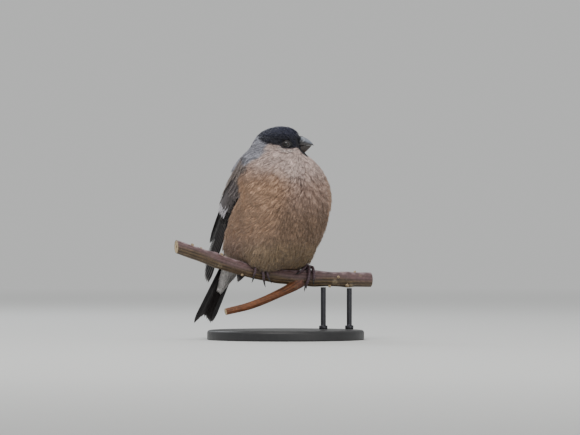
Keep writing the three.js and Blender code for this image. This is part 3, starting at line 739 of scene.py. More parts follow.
def coatRoots(draw):
    # rows at even steps along the mean line down the body, roots at even weighted steps round each row
    steps = np.linalg.norm(np.diff(skinGrid, axis=0), axis=-1)
    spacing = byHead("spacing", (skinGrid[1:] + skinGrid[:-1]) / 2)
    travelled = np.concatenate([[0], np.cumsum((steps / spacing).mean(1))])
    rows = np.interp(np.arange(0.5, travelled[-1], 0.92), travelled, np.arange(len(travelled)))
    roots, unwrapped = [], []
    for number, row in enumerate(rows):
        low = min(int(row), len(skinGrid) - 2)
        ring = skinGrid[low] + (skinGrid[low + 1] - skinGrid[low]) * (row - low)
        ring = np.concatenate([ring, ring[:1]])
        size = np.linalg.norm(np.diff(ring, axis=0), axis=-1) / byHead("spacing", (ring[1:] + ring[:-1]) / 2)
        way = np.concatenate([[0], np.cumsum(size)])
        many = max(int(way[-1]), 3)
        at = (np.arange(many) + 0.5 * (number % 2) + draw.uniform(-0.28, 0.28, many)) / many * way[-1]
        turn = np.interp(np.mod(at, way[-1]), way, np.arange(len(way)))
        i = np.minimum(turn.astype(int), len(ring) - 2)
        roots.append(ring[i] + (ring[i + 1] - ring[i]) * column(turn - i))
        unwrapped.append(np.stack([
            0.02 + 0.96 * turn / (len(ring) - 1), np.full(many, 0.02 + 0.96 * row / (len(skinGrid) - 1)),
        ], -1))
    roots, unwrapped = np.concatenate(roots), np.concatenate(unwrapped)
    roots = roots + draw.normal(scale=0.12, size=roots.shape) * column(byHead("spacing", roots))
    return roots, unwrapped


draw = np.random.default_rng(11)
roots, unwrapped = coatRoots(draw)
covered, _ = underWing(roots, -0.2)
forward, side, height = headPlaces(roots)
atBill = (forward > 14.0) & (np.abs(side) < 4.6) & (height > -3.6) & (height < 7.2)
nearEye = np.min([np.linalg.norm(roots - seat, axis=-1) for seat in eyeSeats.values()], axis=0) < 3.15
footRoom = (roots[:, 2] < 0.5) & (roots[:, 1] < 6)
kept = ~(atBill | nearEye | (covered > -0.7) | footRoom)
roots, unwrapped = roots[kept], unwrapped[kept]
print("contour feathers:", len(roots))

length = byHead("length", roots) * draw.uniform(0.88, 1.12, len(roots))
forward, side, height = headPlaces(roots)
eyeGap = np.min([np.linalg.norm(roots - seat, axis=-1) for seat in eyeSeats.values()], axis=0)
length = np.where(eyeGap < 6, np.minimum(length, 2.2 + 0.7 * np.maximum(eyeGap - 3, 0)), length)
length = np.where(forward > 11, length * 0.7, length)
overBranch = ease(-4, 4, roots @ np.array([-0.454, -0.891, 0])) * ease(14, 9, roots[:, 2])
hanging = np.maximum(3.0, (roots[:, 2] + 1.0) * 1.15)
length = np.minimum(length, hanging + 30 * (1 - overBranch))
rise = -0.15 + 0.16 * draw.uniform(-1, 1, len(roots)) * byHead("halfWidth", roots) / 2.5
shafts = shaftsOnBody(roots, length, rise, 5, draw.normal(scale=0.09, size=len(roots)))
toEdge = -underWing(shafts["place"][:, 3], 0.0)[0]
shafts["halfWidth"] = np.minimum(byHead("halfWidth", roots), 0.7 + 0.9 * np.maximum(toEdge, 0))


def pick(shaft, chosen):
    return {key: value[chosen] for key, value in shaft.items()}


headward = np.linalg.norm(roots - headCentre, axis=-1)
middle = shafts["place"][:, 3]
blackness = capMask(middle)
looks = {
    "face": {"barbs": 12, "reach": 0.7, "width": 0.30, "fluff": 0.06, "bend": 0.03, "featherContrast": 0.03},
    "neck": {"barbs": 22, "reach": 0.75, "width": 0.27, "fluff": 0.10, "bend": 0.02, "featherContrast": 0.03},
    "body": {"barbs": 38, "reach": 0.8, "width": 0.23, "fluff": 0.14, "bend": 0.012, "featherContrast": 0.03},
}
onFace = headward < 15.5
onNeck = (headward >= 15.5) & (headward < 25)
onBody = headward >= 25
groups = [
    ("coatCap", onFace & (blackness > 0.5), "face", capPlumage, "cap"),
    ("coatCheeks", onFace & (blackness <= 0.5), "face", softPlumage, "neck"),
    ("coatNeck", onNeck, "neck", softPlumage, "neck"),
    ("coatBreastLeft", onBody & (roots[:, 0] >= 0) & (roots[:, 2] >= 28), "body", softPlumage, "breast"),
    ("coatBreastRight", onBody & (roots[:, 0] < 0) & (roots[:, 2] >= 28), "body", softPlumage, "breast"),
    ("coatBellyLeft", onBody & (roots[:, 0] >= 0) & (roots[:, 2] < 28), "body", softPlumage, "breast"),
    ("coatBellyRight", onBody & (roots[:, 0] < 0) & (roots[:, 2] < 28), "body", softPlumage, "breast"),
]
for name, chosen, kind, material, slotName in groups:
    heap = Heap()
    points, faces, extras = barbs(pick(shafts, chosen), looks[kind], draw, plumageColour, unwrapped[chosen])
    heap.add(points, faces, **extras)
    heap.make(name, material, slotName)


# Eyes and lids

eye = {"lidWide": 2.15, "lidHigh": 1.62}


def eyeMaterial():
    # pupil, dark iris with fine rays and a darker rim, by the distance from the eye's own axis
    material, nodes, shader = newMaterial("eyeDark")
    held = node(nodes, "ShaderNodeAttribute", attribute_name="iris")
    parts = node(nodes, "ShaderNodeSeparateColor", in0=held.outputs["Color"])
    ramp = node(nodes, "ShaderNodeValToRGB", in0=parts)
    stops = [(0.0, (3, 3, 3)), (0.44, (4, 3, 3)), (0.5, (38, 22, 14)), (0.66, (50, 30, 18)), (0.74, (10, 8, 8))]
    while len(ramp.color_ramp.elements) < len(stops):
        ramp.color_ramp.elements.new(0.5)
    for element, (at, colour) in zip(ramp.color_ramp.elements, stops):
        element.position = at
        element.color = (*linear(colour), 1)
    feed(shader, {
        "Roughness": 0.12, "Coat Weight": 0.5, "Specular IOR Level": 0.3, "Coat Roughness": 0.02,
        "Base Color": ramp,
    })
    return material


def lidMaterial():
    # granular skin: pale at the rim as a painted highlight, dark outside, with a fine bump
    material, nodes, shader = newMaterial("lidSkin")
    colour = node(nodes, "ShaderNodeAttribute", attribute_name="plumage")
    place = node(nodes, "ShaderNodeTexCoord")
    grain = node(nodes, "ShaderNodeTexVoronoi", in2=3200.0, inVector=place.outputs["Object"])
    bump = node(nodes, "ShaderNodeBump", in0=0.5, in1=0.0001, inHeight=grain)
    feed(shader, {"Roughness": 0.5, "Normal": bump, "Base Color": colour.outputs["Color"]})
    return material


def makeEye(side, eyeLook, lidLook):
    # the eye: a sphere, its axis out to the side; its front bulges a little more as the cornea does
    a = np.linspace(0, 2 * np.pi, 48, endpoint=False)
    b = np.linspace(0.04, np.pi - 0.04, 40)
    far = np.sin(b)[:, None] * np.ones(48)
    proud = 0.16 * np.exp(-((b / 0.62) ** 2))[:, None]
    radius = eyePlace["radius"] + proud
    grid = onHead(
        eyePlace["forward"] + radius * far * np.cos(a),
        side * (eyePlace["side"] + radius * np.cos(b)[:, None] * np.ones(48)),
        eyePlace["height"] + radius * far * np.sin(a),
    )
    points, faces = closedRings(grid)
    rays = 0.02 * np.sin(37 * a) * far
    shade = np.concatenate([(far + rays + 9 * (b > 1.6)[:, None]).ravel() * 0.9, [0, 9]])
    iris = np.clip(np.stack([shade, shade, shade], -1), 0, 1)
    makePiece("eye" + sideNames[side], points, faces, eyeLook, ["eye_" + sideNames[side].lower()],
              {"iris": iris})
    # the lids: a rounded rim round the opening that falls away under the feathers
    turn = np.linspace(0, 2 * np.pi, 72, endpoint=False)
    grow = np.array([0.93, 0.98, 1.06, 1.16, 1.28, 1.42, 1.6, 1.6, 1.25, 0.93])
    rise = np.array([-0.12, 0.12, 0.30, 0.34, 0.22, -0.05, -0.7, -1.2, -1.2, -0.6])
    crease = 0.05 * np.sin(turn * 22)[None] * (grow > 1.1)[:, None]
    wide = eye["lidWide"] * (grow[:, None] + crease * 0.4) * np.cos(turn)
    high = eye["lidHigh"] * (grow[:, None] + crease * 0.4) * np.sin(turn)
    corner = 0.35 * np.abs(np.cos(turn)) ** 8 * np.sign(np.cos(turn))
    level = np.sqrt(eyePlace["radius"] ** 2 - np.minimum(wide**2 + high**2, 8.2))
    seat = eyePlace["side"] + level + rise[:, None] * 1.0
    grid = onHead(
        eyePlace["forward"] + wide + corner * grow[:, None] * 0.5,
        side * (seat - 0.05 * np.abs(wide)),
        eyePlace["height"] + high,
    )
    rows, sides = grid.shape[:2]
    ring = gridFaces(rows, sides, True)
    j = np.arange(sides)
    closing = np.stack([(rows - 1) * sides + j, (rows - 1) * sides + (j + 1) % sides, (j + 1) % sides, j], -1)
    # painted highlight: a pale band round the opening where the lid's edge catches light; dark skin outside it
    pale, dark = linear((78, 78, 84)), linear((10, 10, 12))
    rim = np.exp(-(((grow - 1.05) / 0.05) ** 2))
    tone = mix(np.broadcast_to(dark, (rows, sides, 3)), pale, np.broadcast_to(rim[:, None], (rows, sides)))
    makePiece("lids" + sideNames[side], grid.reshape(-1, 3), [np.concatenate([ring, closing])], lidLook,
              (), {"plumage": tone.reshape(-1, 3)})


eyeLook, lidLook = eyeMaterial(), lidMaterial()
for side in (1, -1):
    makeEye(side, eyeLook, lidLook)


# Bill: half rings along each mandible, closed by the flat of the mouth

bill = {
    "root": 13.0, "tip": 22.9, "gape": 1.9, "upperDepth": 5.5, "lowerDepth": 5.1, "halfWidth": 4.3,
    "lowerShare": 0.86, "sag": 0.9,
}


def hornMaterial():
    # horn: growth lines across the bill, a painted highlight on the ridge, browner below
    material, nodes, shader = newMaterial("billHorn")
    colour = node(nodes, "ShaderNodeAttribute", attribute_name="plumage")
    place = node(nodes, "ShaderNodeTexCoord")
    noise = node(nodes, "ShaderNodeTexNoise", in2=900.0, in3=5.0, inVector=place.outputs["Object"])
    fine = node(nodes, "ShaderNodeTexNoise", in2=4000.0, in3=3.0, inVector=place.outputs["Object"])
    tone = between(nodes, noise, 0.75, 1.25)
    tinted = node(nodes, "ShaderNodeVectorMath", operation="SCALE", in0=colour.outputs["Color"], inScale=tone)
    rough = between(nodes, noise, 0.26, 0.42)
    bump = node(nodes, "ShaderNodeBump", in0=0.35, in1=0.00012, inHeight=fine)
    feed(shader, {
        "Coat Weight": 0.25, "Coat Roughness": 0.2, "Base Color": tinted, "Roughness": rough, "Normal": bump,
    })
    return material


def makeBill(upper, look):
    # depth x (1 - t^2.1), half width x (1 - t^1.8); a ring is a half ellipse on the mouth's line
    t = np.linspace(0, 0.992, 44)[:, None]
    a = np.linspace(0, np.pi, 33)[None, :]
    share = 1.0 if upper else bill["lowerShare"]
    sign = 1 if upper else -1
    forward = bill["root"] + (bill["tip"] - bill["root"]) * share * t
    line = bill["gape"] - bill["sag"] * (1 - t) ** 2 - (0.5 * t**6 if upper else 0) + 0 * a
    depth = (bill["upperDepth"] if upper else bill["lowerDepth"]) * (1 - t**2.1) + 0.15
    half = bill["halfWidth"] * (1 - t**1.8) * (1 if upper else 0.9) + 0.12
    growth = 0.035 * np.sin(30 * t + 1.5 * np.sin(a)) * (1 - t)
    ridge = 0.16 * np.exp(-(((a - np.pi / 2) / 0.16) ** 2)) * (1 - t)
    overlap = 0.12 * np.exp(-((np.minimum(a, np.pi - a) / 0.22) ** 2)) if upper else 0
    height = line + sign * (0.15 + (depth + growth + ridge) * np.sin(a) ** 0.85)
    side = (half + growth + overlap) * np.cos(a)
    if upper:
        for where in (-1, 1):
            hollow = np.exp(-(((forward - 16.3) / 0.75) ** 2) - (((side - where * 3.1) / 0.7) ** 2)
                            - (((height - bill["gape"] - 3.3) / 0.7) ** 2))
            side = side - where * 0.7 * hollow
            height = height - 0.35 * hollow
    grid = onHead(forward + 0 * a, side, height)
    floor = onHead(forward + 0 * a[:, :7], half * np.cos(np.linspace(np.pi, 0, 9)[None, 1:-1]),
                   line[:, :7] + sign * 0.15)
    rings = np.concatenate([grid, floor], 1)
    points, faces = closedRings(rings)
    h = headPlaces(points)[2]
    f = headPlaces(points)[0]
    slate, bloom, brown, pink = (linear(c) for c in ((26, 26, 30), (128, 134, 146), (48, 39, 35), (88, 70, 64)))
    if upper:
        # painted highlight: the upper mandible turns pale blue-grey along the top of its ridge
        tone = mix(np.broadcast_to(slate, points.shape), bloom, ease(4.9, 7.0, h + 0.42 * (f - 14)))
        tone = mix(tone, brown, ease(1.2, 0.2, h - bill["gape"]) * 0.6)
    else:
        tone = mix(np.broadcast_to(brown, points.shape), pink, ease(-0.5, -3.0, h) * 0.6)
        tone = mix(tone, slate, ease(0.8, 1.8, h) * 0.6)
    makePiece("billUpper" if upper else "billLower", points, faces, look,
              ["bill_upper" if upper else "bill_lower"], {"plumage": tone})


horn = hornMaterial()
makeBill(True, horn)
makeBill(False, horn)


# Bristles: short stiff feathers over the nostrils, at the corners of the mouth and on the chin

def makeBristles():
    heap = Heap()
    draw = np.random.default_rng(21)
    count = 230
    side = draw.uniform(-1, 1, count) * 4.3
    height = draw.uniform(-0.6, 7.0, count)
    ringed = ((side / 4.5) ** 2 + ((height - 1.8) / 5.4) ** 2)
    keep = ringed > 0.42
    side, height = side[keep], height[keep]
    count = len(side)
    root = onHead(13.1 + 0 * side, side, height)
    out = unit(np.stack([side / 4.5, 0 * side, (height - 1.8) / 5.4], -1))
    sideways = onHead(0 * side, out[:, 0], out[:, 2]) - headCentre
    ahead = onHead(1, 0, 0) - headCentre
    ways = unit(ahead * 0.9 + unit(sideways) * 0.25 + draw.normal(scale=0.10, size=(count, 3)))
    long = draw.uniform(1.0, 1.9, count)
    k = np.linspace(0, 1, 5)
    place = root[:, None] + ways[:, None] * column(k * column(long))
    place = place + ahead * column(k**2 * column(long)) * 0.25
    shaft = {
        "place": place, "out": np.broadcast_to(unit(sideways)[:, None], place.shape).copy(),
        "side": unit(np.cross(np.broadcast_to(unit(sideways)[:, None], place.shape), ways[:, None])),
        "length": long, "halfWidth": np.full(count, 0.42),
    }
    look = {"barbs": 9, "reach": 0.55, "width": 0.26, "fluff": 0.1, "bend": 0, "featherContrast": 0.05}
    black = lambda p: np.broadcast_to(coatColours["cap"], p.shape)
    spot = np.stack([0.5 + side / 40, 0.9 + height / 100], -1)
    points, faces, extras = barbs(shaft, look, draw, black, spot)
    heap.add(points, faces, **extras)
    heap.make("billBristles", capPlumage, "cap")


makeBristles()


# Wings

def vaneMaterial(name, settings):
    # along the vane: fine barb lines that slant from the shaft, as colour and bump; the shaft itself shines
    material, nodes, shader = newMaterial(name)
    colour = node(nodes, "ShaderNodeAttribute", attribute_name="plumage")
    vane = node(nodes, "ShaderNodeAttribute", attribute_name="vane")
    parts = node(nodes, "ShaderNodeSeparateColor", in0=vane.outputs["Color"])
    centre = node(nodes, "ShaderNodeMath", operation="SUBTRACT", in1=0.35, in0=parts.outputs[1])
    slant = node(nodes, "ShaderNodeMath", operation="ABSOLUTE", in0=centre)
    slanted = node(
        nodes, "ShaderNodeMath", operation="MULTIPLY_ADD", in1=-settings["slant"], in0=slant, in2=parts,
    )
    lines = node(nodes, "ShaderNodeMath", operation="MULTIPLY", in1=settings["lines"], in0=slanted)
    wave = node(nodes, "ShaderNodeMath", operation="SINE", in0=lines)
    tone = node(nodes, "ShaderNodeMapRange", in1=-1.0, in2=1.0, in3=0.82, in4=1.18, in0=wave)
    place = node(nodes, "ShaderNodeTexCoord")
    noise = node(nodes, "ShaderNodeTexNoise", in2=700.0, in3=4.0, inVector=place.outputs["Object"])
    noiseTone = between(nodes, noise, 0.8, 1.2)
    both = node(nodes, "ShaderNodeMath", operation="MULTIPLY", in0=tone, in1=noiseTone)
    tinted = node(nodes, "ShaderNodeVectorMath", operation="SCALE", in0=colour.outputs["Color"], inScale=both)
    bump = node(nodes, "ShaderNodeBump", in0=0.5, in1=0.0001, inHeight=wave)
    feed(shader, {
        "Roughness": settings["roughness"], "Specular IOR Level": 0.2, "Sheen Weight": 0.02,
        "Sheen Tint": (*linear((150, 130, 190)), 1), "Base Color": tinted, "Normal": bump,
    })
    return material


flightLook = vaneMaterial("flightVane", {"slant": 0.09, "lines": 420.0, "roughness": 0.46})
wingColours = {key: linear(value) for key, value in {
    "black": (22, 21, 25), "brown": (52, 45, 42), "edge": (150, 140, 130), "paleEdge": (205, 200, 196),
    "shaft": (60, 52, 48), "covertTip": (206, 202, 208), "lesser": (120, 112, 112), "scapular": (134, 122, 116),
    "scapularEdge": (186, 178, 174),
}.items()}
stackRounds = [0, 1.5, 3.0, 4.5, 6.0, 7.5, 9, 11.2, 13.4, 16, 20, 24]


def stackHeight(around):
    # the lower edge of each vane lies higher than the last
    return through(stackRounds, wingLift + 0.33 * 5 + 0.3 * np.arange(12), around)


def vaneSheet(fromAlong, toAlong, place, look, draw):
    # a closed sheet: rows along the feather, columns across it; the outline narrows to the root as
    # 0.6 + 0.4 s and to the tip as the root of its distance; the middle third carries the shaft's ridge
    rows, columns = look["rows"], look["columns"]
    s = np.linspace(0, 1, rows) ** 0.85
    along = fromAlong + (toAlong - fromAlong) * s
    across = np.linspace(0, 1, columns)
    tip = look["tip"]
    fromTip = np.clip((toAlong - along) / tip, 0, 1)
    nearRoot = 0.55 + 0.45 * np.clip((along - fromAlong) / 8, 0, 1)
    outer = (0.02 + 0.98 * fromTip ** look["outerRound"]) * nearRoot
    inner = (0.02 + 0.98 * fromTip ** look["innerRound"]) * nearRoot
    shaft = look["shaft"]
    spread = np.where(across[None] < shaft, outer[:, None], inner[:, None])
    share = shaft + (across[None] - shaft) * spread
    edge = np.minimum(across, 1 - across)[None]
    fray = draw.normal(size=(rows, columns)) * look["fray"] * np.where(edge < 0.01, 1.0, 0.0)
    swept = look["swept"] * np.abs(across[None] - shaft) * (1 - fromTip[:, None] * 0.5)
    grown = along[:, None] + fray * 2 - swept
    ridge = look["ridge"] * np.exp(-(((across[None] - shaft) / 0.05) ** 2)) * (1 - 0.75 * s[:, None])
    wavy = look["wave"] * np.sin(5 * s[:, None] + draw.uniform(0, 6)) * (across[None] - shaft)
    thick = look["thick"] * (0.35 + 0.65 * np.clip(edge * 8, 0, 1)) * np.ones((rows, 1))
    top = place(grown, share + fray * 0.1, thick / 2 + ridge + wavy)
    under = place(grown, share + fray * 0.1, -thick / 2 - ridge * 0.4 + wavy)
    points = np.concatenate([top.reshape(-1, 3), under.reshape(-1, 3)])
    quads = gridFaces(rows, columns, False)
    below = quads[:, ::-1] + rows * columns
    rim = np.concatenate([
        np.arange(columns - 1), np.arange(rows - 1) * columns + columns - 1,
        (rows - 1) * columns + np.arange(columns - 1, 0, -1), np.arange(rows - 1, 0, -1) * columns,
    ])
    onward = np.roll(rim, -1)
    sides = np.stack([onward, rim, rim + rows * columns, onward + rows * columns], -1)
    vane = np.stack([
        np.broadcast_to(s[:, None], (rows, columns)), np.broadcast_to(across[None], (rows, columns)),
        np.full((rows, columns), draw.uniform()),
    ], -1).reshape(-1, 3)
    return points, [np.concatenate([quads, below, sides])], np.concatenate([vane, vane])


def flightColour(vane, kind, draw):
    # black with a browner inner web, a pale line on the outer web's edge and a dark shaft
    along, across = vane[:, 0], vane[:, 1]
    c = wingColours
    colour = mix(np.broadcast_to(c["black"], vane.shape), c["brown"], ease(0.3, 0.9, across) * kind["brown"])
    edge = ease(0.10, 0.03, across) * kind["edge"] * ease(0.12, 0.3, along)
    colour = mix(colour, c["paleEdge"], edge * 0.8)
    tip = ease(0.93, 0.99, along) * kind["tipEdge"]
    colour = mix(colour, c["paleEdge"], tip)
    colour = mix(colour, c["shaft"], np.exp(-(((across - kind["shaft"]) / 0.05) ** 2)) * 0.7)
    return colour * (1 + 0.12 * draw.uniform(-1, 1))


flightRows = []
for i, to in enumerate([84, 83.9, 83.2, 81.4, 78.6, 75.4, 72, 68.4]):
    flightRows.append({
        "to": to, "round": [1.15 * i, 1.1 * i], "width": 4.8, "shaft": 0.3, "edge": 0.45, "brown": 0.7,
        "tipEdge": 0.25,
    })
for i, to in enumerate([58.5, 59.2, 60, 60.6, 61.2]):
    flightRows.append({
        "to": to, "round": [9 + 1.3 * i, 9 + 1.15 * i], "width": 5.6, "shaft": 0.34, "edge": 0.3,
        "brown": 0.45, "tipEdge": 0.1,
    })
for i, to in enumerate([61.5, 57, 50.5]):
    flightRows.append({
        "to": to, "round": [16 + 3.8 * i, 14.8 + 2.4 * i], "width": 7.4, "shaft": 0.42, "edge": 0.12,
        "brown": 0.15, "tipEdge": 0.05,
    })
vaneLook = {
    "rows": 40, "columns": 13, "tip": 7.5, "outerRound": 0.55, "innerRound": 0.45, "shaft": 0.32, "fray": 0.05,
    "swept": 1.6, "ridge": 0.12, "thick": 0.16, "wave": 0.12,
}
flightFrom = 22.0


def roundAt(row, along):
    share = np.clip((along - 30) / 30, 0, 1.2)
    return row["round"][0] + (row["round"][1] - row["round"][0]) * share


def makeWing(side):
    heap = Heap()
    draw = np.random.default_rng(31)
    for row in flightRows:
        low = stackHeight(row["round"][0])

        def place(along, across, height):
            around = roundAt(row, along) + row["width"] * across
            return onSleeve(side, along, turnAt(along, around), low - 0.33 * row["width"] * across + height)

        look = dict(vaneLook, shaft=row["shaft"])
        points, faces, vane = vaneSheet(flightFrom, row["to"], place, look, draw)
        uv = np.stack([0.1 + 0.8 * vane[:, 0], 0.04 + 0.9 * (row["round"][0] + 5 * vane[:, 1]) / 32], -1)
        heap.add(points, faces, vane=vane, plumage=flightColour(vane, row, draw), bakeMap=uv)
    # the arm under the coverts
    along = np.linspace(wingStart + 0.4, 29, 24)
    upper, lower = wingEdges(along)
    share = np.linspace(0, 1, 24)
    turn = lower[:, None] + (upper - lower)[:, None] * share
    inner = onSleeve(side, along[:, None], turn, wingLift + 0 * turn)
    around = np.minimum(share * 30, 24)
    dome = np.minimum(1, 2.6 * np.sqrt(share * (1 - share)))
    early = np.sqrt(np.clip((along - wingStart) / 9, 0, 1))[:, None]
    outer = onSleeve(
        side, along[:, None], turn, wingLift + (stackHeight(around) + 0.6 - wingLift) * dome * early,
    )
    rings = np.concatenate([inner, outer[:, ::-1][:, 1:-1]], 1)
    points, faces = closedRings(rings)
    # painted shade: the arm under the coverts is a darkened grey, showing as shade in the gaps between them
    tone = wingColours["lesser"] * 0.4
    still = np.tile([[0.5, 0.35, 0.5]], (len(points), 1))
    uv = np.full((len(points), 2), 0.02) + 0.06 * np.linspace(0, 1, len(points))[:, None]
    heap.add(points, faces, vane=still, plumage=np.broadcast_to(tone, points.shape), bakeMap=uv)
    name = sideNames[side]
    heap.make("wingVanes" + name, flightLook, "flight", ["wing_" + name.lower()])


for side in (1, -1):
    makeWing(side)


# Coverts and scapulars: barbed feathers in rows on the folded wing. A row gives where its feathers start
# and end along the wing, how far round the first lies, the step to the next, and their colours.

covertFields = (
    "name", "count", "from", "to", "first", "step", "half", "lift", "barbs",
    "base", "tip", "tipFrom", "edge",
)
covertRows = [dict(zip(covertFields, row)) for row in (
    ("alula", 3, 9, 24, -0.2, 1.3, 2.0, 0.9, 64, "black", "black", 2, 0.25),
    ("primary", 5, 17, 38, 0.2, 1.5, 2.1, 0.7, 70, "black", "black", 2, 0.35),
    ("greater", 9, 14, 33.5, 4.6, 2.15, 2.5, 1.15, 84, "black", "covertTip", 0.63, 0.3),
    ("median", 8, 7, 19, 1.6, 2.6, 2.3, 1.6, 54, "lesser", "lesser", 2, 0.2),
    ("lesserC", 8, 4.5, 14, 1.0, 2.7, 2.0, 1.8, 40, "lesser", "lesser", 2, 0.15),
    ("lesserB", 8, 2.5, 10, 1.5, 2.6, 1.8, 1.9, 34, "lesser", "lesser", 2, 0.1),
    ("lesserA", 8, 0.8, 7, 1.5, 2.6, 1.7, 1.6, 30, "lesser", "lesser", 2, 0.1),
    ("scapularC", 5, 14, 33, 17.5, 2.5, 2.9, 1.9, 84, "scapular", "scapular", 2, 0.55),
    ("scapularB", 6, 8, 25.5, 14.5, 2.6, 2.9, 2.4, 74, "scapular", "scapular", 2, 0.45),
    ("scapularA", 6, 2, 17, 12.5, 2.7, 2.8, 2.8, 64, "scapular", "scapular", 2, 0.4),
    ("shoulder", 8, -3, 9, 3.5, 3.1, 2.6, 2.9, 54, "scapular", "scapular", 2, 0.25),
)]


def makeCoverts(side):
    heap = Heap()
    draw = np.random.default_rng(41)
    for row in covertRows:
        many = row["count"]
        first = row["first"] + row["step"] * np.arange(many) + draw.normal(scale=0.12, size=many)
        start = row["from"] + draw.normal(scale=0.35, size=many)
        end = row["to"] + draw.normal(scale=0.45, size=many)
        k = np.linspace(0, 1, 7)
        along = start[:, None] + (end - start)[:, None] * k
        drift = -0.6 * k
        around = first[:, None] + row["half"] + drift
        level = stackHeight(np.clip(around, 0, 24)) + row["lift"] - 0.4 - 1.0 * (1 - k) ** 1.5 - 0.35 * k

        def place(along, around, level):
            return onSleeve(side, along, turnAt(along, around), level)

        shaft = place(along, around, level)
        ways = unit(np.gradient(shaft, axis=1))
        across = unit(place(along, around + 0.5, level) - place(along, around - 0.5, level))
        out = unit(np.cross(ways, across)) * (-side)
        out = out * column(np.sign(dot(out, place(along, around, level + 1) - shaft)))
        look = {
            "barbs": row["barbs"], "reach": 0.26, "width": 0.34, "fluff": 0.12, "bend": 0.03,
            "featherContrast": 0.08,
        }
        held = {
            "place": shaft, "out": out, "side": across - ways * column(dot(across, ways)),
            "length": end - start, "halfWidth": np.full(many, row["half"]),
        }
        base, tip = wingColours[row["base"]], wingColours[row["tip"]]
        spot = np.stack([0.1 + 0.8 * (start + 4) / 40, 0.1 + 0.8 * first / 34], -1)
        points, faces, extras = barbs(held, look, draw, lambda p: np.broadcast_to(base, p.shape), spot)
        share = extras["barb"][:, 0]
        outward = (extras["bakeMap"][:, 1] - np.repeat(spot[:, 1], row["barbs"] * 7)) / 0.0013
        ragged = row["tipFrom"] + 0.08 * (extras["barb"][:, 2] - 0.5)
        tone = mix(extras["plumage"], tip, ease(ragged - 0.05, ragged + 0.05, share))
        pale = wingColours["scapularEdge"] if row["base"] == "scapular" else wingColours["paleEdge"]
        tone = mix(tone, pale, ease(0.72, 0.98, -outward) * row["edge"] * ease(0.3, 0.5, share))
        shine = np.exp(-((outward / 0.06) ** 2)) * 0.25
        extras["plumage"] = mix(tone, wingColours["shaft"], shine)
        heap.add(points, faces, **extras)
    heap.make("wingCoverts" + sideNames[side], softPlumage, "flight")


for side in (1, -1):
    makeCoverts(side)


# Tail: six pairs of vanes from the middle pair on top, and the soft feathers over and under their roots

tailRoot = sleeveStart + 49 * tailward + 3.5 * backward


def onTail(along, side, height):
    return tailRoot + column(along) * tailward + column(side) * left + column(height) * backward


def makeTail():
    heap = Heap()
    draw = np.random.default_rng(51)
    kind = {"brown": 0.6, "edge": 0.35, "tipEdge": 0.08, "shaft": 0.34}
    for side in (1, -1):
        for i, to in enumerate([62.5, 63.6, 64.6, 65.4, 66, 65.0]):
            def place(along, across, height):
                fan = 0.55 + 0.45 * along / 66
                inner = 0.1 + fan * (0.95 * i - 2.2 * 0.45**i) # the middle pair lies over the midline
                width = (5.0 - 0.08 * i) * fan
                return onTail(
                    along, side * (inner + width * (1 - across)), 1.0 - 0.38 * i - 0.12 * side + height,
                )

            look = dict(
                vaneLook, rows=54, columns=15, shaft=0.36, tip=6.0, outerRound=0.5, innerRound=0.5, swept=2.0,
            )
            points, faces, vane = vaneSheet(1.0, to, place, look, draw)
            uv = np.stack([0.1 + 0.8 * vane[:, 0], 0.5 + side * (0.06 + 0.065 * i + 0.06 * vane[:, 1])], -1)
            heap.add(points, faces, vane=vane, plumage=flightColour(vane, kind, draw), bakeMap=uv)
    along = np.linspace(-1, 13, 16)
    a = np.arange(24) * 2 * np.pi / 24
    taper = np.where(along > 8, 1 - (along - 8) / 24, 1)[:, None]
    rings = onTail(along[:, None] + 0 * a, 5.2 * taper * np.cos(a), 0.5 + 2.7 * taper * np.sin(a))
    points, faces = closedRings(rings)
    heap.add(points, faces, vane=np.tile([[0.5, 0.36, 0.5]], (len(points), 1)),
             plumage=np.broadcast_to(wingColours["black"], points.shape),
             bakeMap=np.full((len(points), 2), 0.03))
    heap.make("tailVanes", flightLook, "flight", ["tail"])


makeTail()


def laidShaft(shaft, out, long, half):
    # outward with its part along the shaft taken away, and the side square to both
    ways = unit(np.gradient(shaft, axis=1))
    out = unit(out - ways * column(dot(out, ways)))
    return {
        "place": shaft, "out": out, "side": np.cross(out, ways), "length": long,
        "halfWidth": np.full(len(shaft), half),
    }


def tongueSurface(along, turn, proud):
    # the CAD's tapered tongue of long soft feathers under the tail
    t = np.clip((along + 6) / 44, 0, 0.985)
    half = 9.5 * (1 - t**2.2) + 0.6 + proud
    depth = 9 * (1 - t) ** 0.9 * (1 - 0.35 * t) + 0.5 + proud
    return onTail(along, half * np.cos(turn), -3 + proud * 0.3 - depth * np.abs(np.sin(turn)) ** 0.8)


